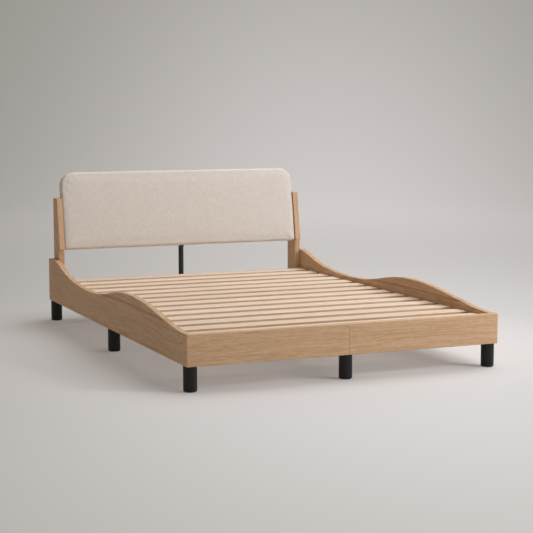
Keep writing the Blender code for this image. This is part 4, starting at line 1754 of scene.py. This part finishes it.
    def plate(self) -> None:
        """Make the bent plate between the rod's top and the board."""
        low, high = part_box("rod_plate")
        lean_y, lean_z = math.sin(PANEL.lean), math.cos(PANEL.lean)
        slope = math.tan(PANEL.lean)
        front, bottom = PANEL.corner()
        face_y = front + self.panel_face * lean_z
        face_z = bottom - self.panel_face * lean_y
        foot_top = low.z + self.plate_thickness
        top = (face_y + self.plate_length * lean_y, face_z + self.plate_length * lean_z)
        rod_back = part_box("support_rod")[1].y
        outline = [
            (face_y - (face_z - low.z) * slope, low.z),
            (rod_back, low.z),
            (rod_back, foot_top),
            (face_y + self.plate_thickness / lean_z - (face_z - foot_top) * slope, foot_top),
            (top[0] + self.plate_thickness * lean_z, top[1] - self.plate_thickness * lean_y),
            top,
        ]
        mesh = extruded("plate", outline, (low.x, high.x), self.edge_radius, self.edge_steps)
        mesh = faired(turned_to(mesh, upright()))
        place_piece("steel_rod_plate", mesh, POWDER_COAT, ["rod_plate"])


# Headboard


@dataclass(frozen=True)
class Outline:
    """The panel's front outline: a rectangle with large top corners and small bottom ones."""

    half_width: float
    height: float
    top_radius: float = 0.070
    bottom_radius: float = 0.010

    def ring(self, inset: float, corner_steps: int = 16, run_step: float = 0.030) -> list[Flat]:
        """Return the outline moved in by an inset, with points along its straight runs.

        Args:
            inset: How far it is moved in.
            corner_steps: How many edges a top corner has.
            run_step: The longest edge on a straight run.

        Returns:
            (X, Z) points, anticlockwise from the bottom right corner.
        """
        half, low, high = self.half_width - inset, inset, self.height - inset
        top = max(self.top_radius - inset, self.bottom_radius)
        bottom = max(self.bottom_radius - inset, self.bottom_radius / 2)
        corners = (
            (half - bottom, low + bottom, bottom, -90),
            (half - top, high - top, top, 0),
            (top - half, high - top, top, 90),
            (bottom - half, low + bottom, bottom, 180),
        )
        points: list[Flat] = []
        for x, z, radius, start in corners:
            steps = corner_steps if radius > self.bottom_radius else max(3, corner_steps // 4)
            arc = []
            for step in range(steps + 1):
                angle = math.radians(start + 90 * step / steps)
                arc.append((x + radius * math.cos(angle), z + radius * math.sin(angle)))
            if points:
                points += self.run(points[-1], arc[0], run_step)
            points += arc
        return points + self.run(points[-1], points[0], run_step)

    @staticmethod
    def run(start: Flat, end: Flat, longest: float) -> list[Flat]:
        """Return the points between two corners, none of them a corner.

        Args:
            start: The first corner.
            end: The second corner.
            longest: The longest edge between points.

        Returns:
            (X, Z) points.
        """
        count = max(1, round(math.dist(start, end) / longest))
        shares = [step / count for step in range(1, count)]
        return [(start[0] + (end[0] - start[0]) * s, start[1] + (end[1] - start[1]) * s) for s in shares]

    def rim(self, x: float, z: float) -> Triple:
        """Find the way to the outline.

        Args:
            x: A point's X.
            z: Its height on the panel.

        Returns:
            How far the point lies inside the outline, and the outline's normal there as X and Z.
        """
        radius = self.top_radius if z > self.height / 2 else self.bottom_radius
        sign_x = 1.0 if x >= 0 else -1.0
        sign_z = 1.0 if z > self.height / 2 else -1.0
        out_x = abs(x) - (self.half_width - radius)
        out_z = abs(z - self.height / 2) - (self.height / 2 - radius)
        if out_x > 0 and out_z > 0:
            reach = math.hypot(out_x, out_z)
            return radius - reach, sign_x * out_x / reach, sign_z * out_z / reach
        if out_x > out_z:
            return radius - out_x, sign_x, 0.0
        return radius - out_z, 0.0, sign_z


def panel_outline() -> Outline:
    """Return the panel's outline, as wide as its solid."""
    low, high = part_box("headboard_pad")
    board_low, board_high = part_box("headboard_board")
    rise = board_high.z - board_low.z - PANEL.board_thickness * math.sin(PANEL.lean)
    return Outline((high.x - low.x) / 2, rise / math.cos(PANEL.lean) + 2 * PANEL.board_inset)


OUTLINE = panel_outline()


@dataclass(frozen=True)
class Headboard:
    """Upholstered panel: a pad of foam whose cover wraps the plywood board and is stapled behind."""

    thickness: float = PANEL.thickness
    lap_thickness: float = 0.0010
    board_thickness: float = PANEL.board_thickness
    board_inset: float = PANEL.board_inset
    board_rounding: float = 0.0015
    edge_rounding: float = 0.0125
    edge_steps: int = 6
    crown: float = 0.003
    crown_shares: tuple[float, ...] = (0.10, 0.22, 0.38, 0.56, 0.78, 0.96)
    slack: float = 0.0018
    voxel: float = 0.0070
    pressure: float = 4.0
    frames: int = 20
    cloth_quality: int = 5
    cap: float = 0.0018
    pinned_from: float = 0.030
    free_to: float = 0.012
    crease_over: float = math.radians(55)
    lap_width: float = 0.024
    lap_waver: float = 0.0035
    lap_waves: tuple[Triple, ...] = ((24.0, 3.0, 1.0), (70.0, 9.0, 0.5))
    lap_corner_steps: int = 20
    lap_step: float = 0.012
    pucker_depth: float = 0.0007
    pucker_from: float = 0.016
    pucker_run: float = 0.030
    waver_room: float = 0.006
    lumps_to_metre: float = 7.0
    lump_height: float = 0.0010
    dimples_to_metre: float = 26.0
    dimple_height: float = 0.0004
    staple_pitch: float = 0.034
    staple_inset_share: float = 0.62
    staple_crown: float = 0.0105
    staple_wire: float = 0.0008
    staple_skew: float = math.radians(14)

    def build(self) -> None:
        """Make the board, the cover and its staples."""
        self.board()
        self.cover()
        self.staples()

    def board(self) -> None:
        """Make the plywood board behind the pad."""
        front = self.thickness - self.board_thickness
        stations = (
            (self.board_inset + self.board_rounding, front),
            (self.board_inset, front + self.board_rounding),
            (self.board_inset, self.thickness - self.board_rounding),
            (self.board_inset + self.board_rounding, self.thickness),
        )
        rings = [[Vector((x, depth, z)) for x, z in OUTLINE.ring(inset)] for inset, depth in stations]
        mesh = faired(loft("board", rings))
        write_grain(mesh, lambda point: Vector((point.x, point.z, point.y)))
        place_piece("plywood_board", turned_to(mesh, PANEL.matrix()), PLYWOOD, ["headboard_board"])

    def pad_rings(self) -> list[Ring]:
        """Return the pad's sections from the back to the front, a little small for the foam's push."""
        back = self.thickness + self.lap_thickness + GAP
        edge = self.crown + self.slack
        rounding = quarter(self.edge_rounding, self.edge_steps)
        stations = [(0.0, back)] + [(inset, edge + depth) for inset, depth in rounding]
        run = OUTLINE.height / 2 - self.edge_rounding
        for share in self.crown_shares:
            depth = self.slack + self.crown * (1 - math.sin(math.pi / 2 * share))
            stations.append((self.edge_rounding + share * run, depth))
        return [[Vector((x, depth, z)) for x, z in self.shrunk_ring(inset)] for inset, depth in stations]

    @staticmethod
    def shrunk_ring(inset: float) -> list[Flat]:
        """Return the outline moved in, with the same count of points at any inset.

        Args:
            inset: How far it is moved in.

        Returns:
            (X, Z) points.
        """
        middle = OUTLINE.height / 2
        reach = min(inset, middle - GAP)
        limit_x, limit_z = OUTLINE.half_width - reach, middle - reach
        points = []
        for x, z in OUTLINE.ring(0.0):
            _, normal_x, normal_z = OUTLINE.rim(x, z)
            moved_x = kept(x - normal_x * reach, -limit_x, limit_x)
            points.append((moved_x, middle + kept(z - middle - normal_z * reach, -limit_z, limit_z)))
        return points

    def cover(self) -> None:
        """Make the pad and the cloth over it, from foam that pushes out to the lap stapled behind."""
        mesh = loft("cover", self.pad_rings())
        mesh = modified(mesh, "REMESH", mode="VOXEL", voxel_size=self.voxel, use_smooth_shade=True)
        self.inflate(mesh)
        self.pucker(mesh)
        mesh = self.hollowed(modified(mesh, "SUBSURF", levels=1, render_levels=1))
        creased(mesh, self.crease_over)
        self.lay_cloth(mesh)
        piece = place_piece("padded_cover", turned_to(mesh, PANEL.matrix()), WEAVE, ["headboard_pad"])

    def inflate(self, mesh: Mesh) -> None:
        """Let the foam push the cloth out, held along the board's edge.

        Args:
            mesh: The pad, which is changed.
        """
        scene = bpy.context.scene
        piece = linked("inflated", mesh)
        group = piece.vertex_groups.new(name="held")
        for vertex in mesh.vertices:
            share = (vertex.co.y - self.free_to) / (self.pinned_from - self.free_to)
            group.add([vertex.index], kept(share), "REPLACE")
        rest = [vertex.co.copy() for vertex in mesh.vertices]
        cloth = piece.modifiers.new("foam", "CLOTH")
        cloth.settings.use_pressure = True
        cloth.settings.uniform_pressure_force = self.pressure
        cloth.settings.vertex_group_mass = "held"
        cloth.settings.effector_weights.gravity = 0.0
        cloth.settings.quality = self.cloth_quality
        cloth.point_cache.frame_start = 1
        cloth.point_cache.frame_end = self.frames
        for step in range(1, self.frames + 1):
            scene.frame_set(step)
        graph = bpy.context.evaluated_depsgraph_get()
        pushed = piece.evaluated_get(graph).to_mesh()
        moved = [vertex.co.copy() for vertex in pushed.vertices]
        piece.modifiers.clear()
        scene.frame_set(1)
        for vertex, start, end in zip(mesh.vertices, rest, moved):
            push = end - start
            if push.length > self.cap:
                push = push.normalized() * self.cap
            vertex.co = start + push
        bpy.data.objects.remove(piece, do_unlink=True)

    def pucker(self, mesh: Mesh) -> None:
        """Draw the cloth in a little at each staple, and let its front waver.

        Args:
            mesh: The pad, which is changed.
        """
        for vertex in mesh.vertices:
            x, depth, z = vertex.co
            _, normal_x, normal_z = OUTLINE.rim(x, z)
            run = x * normal_z - z * normal_x
            pull = 0.5 + 0.5 * math.cos(2 * math.pi * run / self.staple_pitch)
            inward = self.pucker_depth * pull * kept((depth - self.pucker_from) / self.pucker_run)
            vertex.co.x -= normal_x * inward
            vertex.co.z -= normal_z * inward
            if depth < self.free_to + self.waver_room:
                place = Vector((x, depth, z))
                lump = noise.noise(place * self.lumps_to_metre)
                dimple = noise.noise(place * self.dimples_to_metre + Vector((5, 0, 0)))
                vertex.co.y += self.lump_height * lump + self.dimple_height * dimple

    def hollowed(self, mesh: Mesh) -> Mesh:
        """Take the board's space and the open back out of the pad, which leaves the cloth's lap.

        Args:
            mesh: The solid pad.

        Returns:
            The pad with its lap.
        """
        board = OUTLINE.ring(self.board_inset - GAP)
        opening = []
        for x, z in OUTLINE.ring(self.lap_width, self.lap_corner_steps, self.lap_step):
            _, normal_x, normal_z = OUTLINE.rim(x, z)
            waves = [share * noise.noise(Vector((x * n, z * n, depth))) for n, depth, share in self.lap_waves]
            waver = self.lap_waver * sum(waves)
            opening.append((x + normal_x * waver, z + normal_z * waver))
        back, wood = self.thickness, self.board_thickness
        rooms = (
            ("board_room", board, (back - wood - GAP, back + GAP / 3)),
            ("lap_opening", opening, (back - wood / 2, back + wood)),
        )
        tools = []
        for name, ring, depths in rooms:
            tools.append(loft(name, [[Vector((x, depth, z)) for x, z in ring] for depth in depths]))
        return without(mesh, tools)

    def lay_cloth(self, mesh: Mesh) -> None:
        """Give the cover a UV map in metres that runs on round the edge and onto the lap.

        Args:
            mesh: The cover, in the panel's frame.
        """
        layer = mesh.uv_layers.new(name="cloth")
        places = []
        for vertex in mesh.vertices:
            x, depth, z = vertex.co
            distance, normal_x, normal_z = OUTLINE.rim(x, z)
            run = depth + 2 * distance if depth > self.thickness else depth
            places.append((x + normal_x * run, z + normal_z * run))
        values = [value for loop in mesh.loops for value in places[loop.vertex_index]]
        layer.data.foreach_set("uv", values)

    def staples(self) -> None:
        """Staple the lap to the board."""
        depth = self.thickness + self.lap_thickness + self.staple_wire
        ring = OUTLINE.ring(self.lap_width * self.staple_inset_share)
        path = bpy.data.meshes.new("staples")
        edges = [(index, (index + 1) % len(ring)) for index in range(len(ring))]
        path.from_pydata([(x, depth, z) for x, z in ring], edges, [])
        sizes = {
            "Spacing": self.staple_pitch,
            "Crown": self.staple_crown,
            "Wire": self.staple_wire,
            "Skew": self.staple_skew,
            "Metal": ZINC.material(),
        }
        mesh = evaluated(path, lambda piece: add_tree(piece, staple_tree(), sizes))
        place_piece("cover_staples", turned_to(mesh, PANEL.matrix()), ZINC)


# Small fasteners


@dataclass(frozen=True)
class ScrewHead:
    """A small screw's head with a cross recess."""

    radius: float
    height: float
    recess: float
    sides: int = 24
    cross_share: float = 0.62
    point_share: float = 0.55
    sunk_share: float = 0.5
    dome_shares: tuple[Flat, ...] = ((0.72, 1.0), (0.93, 0.70), (1.0, 0.25))

    def template(self, name: str) -> Piece:
        """Make the head, standing on its own origin.

        Args:
            name: The object's name.

        Returns:
            An object that holds it.
        """
        cross, floor = self.radius * self.cross_share, self.height - self.recess
        sunk = -self.height * self.sunk_share
        profile = [(0, floor), (cross * self.point_share, floor, Recess.CROSS)]
        profile += [(cross, self.height, Recess.CROSS)]
        profile += [(self.radius * across, self.height * up) for across, up in self.dome_shares]
        mesh = lathe(name, profile + [(self.radius, sunk), (0, sunk)], self.sides)
        creased(mesh, SMOOTH_UNDER)
        return linked(name, mesh)


@dataclass(frozen=True)
class Fasteners:
    """The small screws of the slats, ledges, blocks, brackets, cheeks and legs."""

    flush: ScrewHead = ScrewHead(0.0042, 0.0006, 0.0005)
    pan: ScrewHead = ScrewHead(0.0046, 0.0022, 0.0016)
    leg_bolt: ScrewHead = ScrewHead(0.0085, 0.0050, 0.0030)
    slat_screw_inset: float = 0.0110
    ledge_pitch: float = 0.240
    pair_shares: Flat = (0.25, 0.75)
    corner_shares: Flat = (0.18, 0.48)
    corner_offset_share: float = 0.2
    joint_shares: tuple[float, ...] = (0.12, 0.35, 0.65, 0.88)
    angle_shares: Triple = (-0.38, 0.0, 0.38)
    plate_shares: Flat = (0.45, 0.80)
    flange_share: float = 0.58
    post_flange_share: float = 0.60

    def build(self) -> None:
        """Set every group of screws."""
        self.group("slat_screws", self.flush, ZINC, self.slat_places())
        self.group("frame_screws", self.pan, ZINC, self.frame_places())
        self.group("bracket_screws", self.pan, POWDER_COAT, self.bracket_places())
        self.group("leg_bolts", self.leg_bolt, ZINC, self.leg_places())

    def group(self, name: str, head: ScrewHead, metal: Finish, places: list[Spot]) -> None:
        """Set one group of screws.

        Args:
            name: The piece's name.
            head: The shape of its screws.
            metal: Their finish.
            places: Where each stands, and the way that it faces.
        """
        template = head.template(name + "_head")
        points = bpy.data.meshes.new(name)
        points.from_pydata([place for place, _ in places], [], [])
        facing = points.attributes.new("facing", "FLOAT_VECTOR", "POINT")
        facing.data.foreach_set("vector", [value for _, way in places for value in way])
        values = {"Fastener": template, "Metal": metal.material()}
        mesh = evaluated(points, lambda piece: add_tree(piece, fastener_tree(), values))
        bpy.data.objects.remove(template, do_unlink=True)
        place_piece(name, mesh, metal)

    def slat_places(self) -> list[Spot]:
        """Return one screw at each end of each slat."""
        places = []
        for number in range(1, PineBase.count + 1):
            for end, inset in ((0.0, self.slat_screw_inset), (1.0, -self.slat_screw_inset)):
                place = point_in(f"slat_{number:02d}", end, 0.5, 1.0)
                places.append((place + Vector((inset, 0, 0)), UP))
        return places

    def frame_places(self) -> list[Spot]:
        """Return the screws of the ledges, the blocks and the cheeks."""
        places = []
        for name, side in SIDES:
            face = 0.5 - side / 2
            ledge, corner = "slat_ledge_" + name, "corner_block_" + name
            low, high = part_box(ledge)
            count = round((high.y - low.y) / self.ledge_pitch)
            spots = [point_in(ledge, face, (index + 0.5) / count, 0.5) for index in range(count)]
            spots += [point_in(corner, face, 0.5, share) for share in self.pair_shares]
            spots += [point_in("side_block_" + name, face, share, 0.5) for share in self.pair_shares]
            places += [(spot, Vector((-side, 0, 0))) for spot in spots]
            across = 0.5 - side * self.corner_offset_share
            spots = [point_in(corner, across, 1.0, share) for share in self.corner_shares]
            for share in self.pair_shares:
                spots.append(point_in("headboard_post_" + name, 0.5, 1.0, 0.0))
                spots[-1].z = point_in("headboard_cheek_" + name, 0.0, 0.0, share).z
            places += [(spot, HEADWARDS) for spot in spots]
        for node, way in (("joint_block_foot", 1), ("joint_block_head", -1)):
            for share in self.joint_shares:
                places.append((point_in(node, share, 0.5 + way / 2, 0.5), Vector((0, way, 0))))
        for way in (-1, 1):
            places.append((point_in("beam_block", 0.5 + way / 2, 0.5, 0.5), Vector((way, 0, 0))))
        return places

    @staticmethod
    def flange_places(side: int, corner: Vector, across: float, behind: float) -> list[Spot]:
        """Return one screw on each flange of an angle.

        Args:
            side: -1 or 1.
            corner: The angle's corner, mirrored to the right, at the screws' height.
            across: The first screw's distance from it on the cross piece's flange.
            behind: The second screw's distance from it on the post's flange.

        Returns:
            Both screws.
        """
        wall = Brackets.thickness
        on_cross = Vector((side * (corner.x - across), corner.y + wall, corner.z))
        on_post = Vector((side * (corner.x - wall), corner.y + behind, corner.z))
        return [(on_cross, HEADWARDS), (on_post, Vector((-side, 0, 0)))]

    def bracket_places(self) -> list[Spot]:
        """Return the screws of the angles, the strap and the bent plate."""
        places = []
        steel, panel = Brackets(), PANEL.matrix()
        turn = panel.to_3x3()
        across, behind = steel.board_flange * self.flange_share, steel.post_flange * self.post_flange_share
        reach = steel.rail_flange * self.flange_share
        for name, side in SIDES:
            spots = []
            for share in self.angle_shares:
                height = steel.angle_centre + steel.angle_length * share
                corner = Vector((outermost("panel_angle_" + name), steel.panel_face, height))
                spots += self.flange_places(side, corner, across, behind)
            places += [(panel @ spot, turn @ way) for spot, way in spots]
            for share in self.pair_shares:
                corner = point_in("head_rail_angle_" + name, 0.0, 0.0, share)
                corner.x = outermost("head_rail_angle_" + name)
                places += self.flange_places(side, corner, reach, reach)
        for end, inset in ((0.0, steel.strap_flange / 2), (1.0, -steel.strap_flange / 2)):
            on_strap = point_in("rod_clamp", end, 0.0, 0.5) + Vector((inset, steel.strap_thickness, 0))
            places.append((on_strap, HEADWARDS))
        for share in self.plate_shares:
            on_plate = Vector((0, steel.panel_face + steel.plate_thickness, steel.plate_length * share))
            places.append((panel @ on_plate, turn @ HEADWARDS))
        return places

    def leg_places(self) -> list[Spot]:
        """Return the bolt in the ceiling of each leg."""
        return [(point_in(node, 0.5, 0.5, 1.0) - UP * Legs.top_wall, -UP) for node in LEG_NODES]


# Studio


@dataclass(frozen=True)
class Lamp:
    """A large round soft light: where it hangs, its width and its power in watts."""

    name: str
    place: Triple
    size: float
    power: float

    def hang(self, aim: Triple, colour: Rgb) -> None:
        """Hang the lamp.

        Args:
            aim: The point that it faces.
            colour: Its colour.
        """
        data = bpy.data.lights.new(self.name, "AREA")
        data.shape = "DISK"
        data.size = self.size
        data.energy = self.power
        data.color = colour
        light = linked(self.name, data)
        light.location = self.place
        light.rotation_euler = (Vector(aim) - Vector(self.place)).to_track_quat("-Z", "Y").to_euler()


@dataclass(frozen=True)
class Studio:
    """Pale floor and round backdrop, soft light and the camera at the photograph's angle."""

    focal_pixels: float = 1431.8
    image_pixels: float = 533.0
    sensor: float = 36.0
    camera_place: Triple = (-2.690, -6.430, 1.188)
    camera_yaw: float = math.radians(23.305)
    camera_pitch: float = math.radians(6.702)
    ambient: Rgb = (0.310, 0.278, 0.246)
    lamp_colour: Rgb = (0.975, 1.0, 1.050)
    lamp_aim: Triple = (0.0, 0.0, 0.2)
    lamps: tuple[Lamp, ...] = (
        Lamp("key", (2.2, 0.2, 4.8), 6.0, 228.0),
        Lamp("fill", (3.4, -3.6, 2.4), 1.3, 112.0),
    )
    floor_colour: Rgb = (0.665, 0.640, 0.620)
    floor_roughness: float = 0.9
    floor_gloss: float = 0.1
    floor_radius: float = 9.0
    bend_radius: float = 5.0
    wall_height: float = 16.0
    bend_steps: int = 12
    sides: int = 96
    fade_from: float = 1.0
    fade_to: float = 1.8
    shadow_lift: float = 0.16
    glow_centre: Triple = (0.81, 8.26, 1.0)
    glow_reach: Triple = (3.43, 6.76, 4.01)
    glow_colour: Rgb = (0.658, 0.626, 0.613)
    near_centre: Triple = (0.97, -1.07, 0.5)
    near_reach: Triple = (2.25, 3.98, 2.0)
    near_colour: Rgb = (0.408, 0.397, 0.406)
    edge_colour: Rgb = (0.295, 0.277, 0.250)

    def build(self) -> None:
        """Set the studio up around the bed."""
        self.camera()
        self.stage("studio_floor", [(0.0, 0.0), (self.floor_radius, 0.0)], self.floor_material())
        self.stage("studio_backdrop", self.backdrop_profile(), self.backdrop_material())
        self.world()
        for lamp in self.lamps:
            lamp.hang(self.lamp_aim, self.lamp_colour)
        bpy.context.scene.view_settings.view_transform = "Standard"

    def camera(self) -> None:
        """Place the camera."""
        data = bpy.data.cameras.new("camera")
        data.sensor_width = self.sensor
        data.lens = self.sensor * self.focal_pixels / self.image_pixels
        data.clip_end = self.wall_height * 4
        camera = linked("camera", data)
        camera.location = self.camera_place
        camera.rotation_euler = (math.pi / 2 - self.camera_pitch, 0.0, -self.camera_yaw)
        bpy.context.scene.camera = camera

    def backdrop_profile(self) -> list[Flat]:
        """Return the backdrop's (radius, height) line, which bends up from the floor into a wall."""
        reach = self.floor_radius + self.bend_radius
        line = [(reach - inset, height) for height, inset in quarter(self.bend_radius, self.bend_steps)]
        return line + [(reach, self.wall_height)]

    def stage(self, name: str, profile: Sequence[Flat], material: Material) -> None:
        """Turn a profile into a part of the stage.

        Args:
            name: The object's name.
            profile: Its (radius, height) line.
            material: Its material.
        """
        shape = bmesh.new()
        angles = [2 * math.pi * index / self.sides for index in range(self.sides)]
        rows = []
        for reach, height in profile:
            rows.append([shape.verts.new((reach * math.cos(a), reach * math.sin(a), height)) for a in angles])
        for near, far in zip(rows, rows[1:]):
            for index in range(self.sides):
                after = (index + 1) % self.sides
                shape.faces.new((near[index], far[index], far[after], near[after]))
        bmesh.ops.remove_doubles(shape, verts=shape.verts, dist=MERGE_DISTANCE)
        mesh = bpy.data.meshes.new(name)
        shape.to_mesh(mesh)
        shape.free()
        mesh.shade_smooth()
        mesh.materials.append(material)
        linked(name, mesh)

    def glow(self, graph: Graph, place: Socket) -> Socket:
        """Return the stage's own light: a glow behind the bed and one before it, falling off all round.

        Args:
            graph: The material's graph.
            place: The point that it is read at.

        Returns:
            The emission shader's socket.
        """
        inputs = {"Vector": place, "Angle": self.camera_yaw}
        turned = graph.add("ShaderNodeVectorRotate", inputs, rotation_type="Z_AXIS").outputs[0]
        shares = []
        for centre, reach in ((self.glow_centre, self.glow_reach), (self.near_centre, self.near_reach)):
            scaled = graph.vector("DIVIDE", graph.vector("SUBTRACT", turned, centre), reach)
            square = graph.add("ShaderNodeVectorMath", {0: scaled, 1: scaled}, operation="DOT_PRODUCT")
            shares.append(graph.math("EXPONENT", graph.math("MULTIPLY", square.outputs["Value"], -1.0)))
        behind = graph.blend(shares[0], self.edge_colour, self.glow_colour)
        inputs = {0: self.near_colour, "Scale": shares[1]}
        before = graph.add("ShaderNodeVectorMath", inputs, operation="SCALE").outputs[0]
        colour = graph.vector("ADD", behind, before)
        return graph.add("ShaderNodeEmission", {"Color": colour, "Strength": 1.0}).outputs[0]

    @staticmethod
    def seen(graph: Graph) -> Socket:
        """Find the rays that show the stage.

        Args:
            graph: The material's graph.

        Returns:
            1 for the rays of the camera, of gloss and of glass.
        """
        path = graph.add("ShaderNodeLightPath")
        seen = graph.math("MAXIMUM", path.outputs["Is Camera Ray"], path.outputs["Is Glossy Ray"])
        return graph.math("MAXIMUM", seen, path.outputs["Is Transmission Ray"])

    def floor_material(self) -> Material:
        """Return the floor, which takes shadows near the bed and fades into the backdrop's light."""
        material, graph, shader = blank_material("studio_floor")
        inputs = {
            "Base Color": (*self.floor_colour, 1.0),
            "Roughness": self.floor_roughness,
            "Specular IOR Level": self.floor_gloss,
        }
        graph.feed(shader, inputs)
        place = graph.add("ShaderNodeTexCoord").outputs["Object"]
        length = graph.add("ShaderNodeVectorMath", {0: place}, operation="LENGTH").outputs["Value"]
        far = graph.math("MAXIMUM", graph.step(length, self.fade_from, self.fade_to), self.shadow_lift)
        fade = graph.math("MULTIPLY", far, self.seen(graph))
        inputs = {0: fade, 1: shader.outputs[0], 2: self.glow(graph, place)}
        graph.surface(graph.add("ShaderNodeMixShader", inputs).outputs[0])
        return material

    def backdrop_material(self) -> Material:
        """Return the backdrop, which is seen but lets the soft light of the world through."""
        material, graph, _ = blank_material("studio_backdrop")
        place = graph.add("ShaderNodeTexCoord").outputs["Object"]
        clear = graph.add("ShaderNodeBsdfTransparent").outputs[0]
        inputs = {0: self.seen(graph), 1: clear, 2: self.glow(graph, place)}
        graph.surface(graph.add("ShaderNodeMixShader", inputs).outputs[0])
        return material

    def world(self) -> None:
        """Light the bed evenly from all round."""
        world = bpy.data.worlds.new("studio")
        world.use_nodes = True
        background = world.node_tree.nodes["Background"]
        background.inputs["Color"].default_value = (*self.ambient, 1.0)
        bpy.context.scene.world = world


def main() -> None:
    """Build the studio and then each part of the bed."""
    logging.basicConfig(level=logging.INFO, format="%(message)s")
    kinds = (Studio, OakFrame, OakPosts, PineBase, Legs, Headboard, Brackets, Bolts, Fasteners)
    for kind in kinds:
        log.info("building %s", kind.__name__)
        kind().build()


if __name__ == "__main__":
    main()
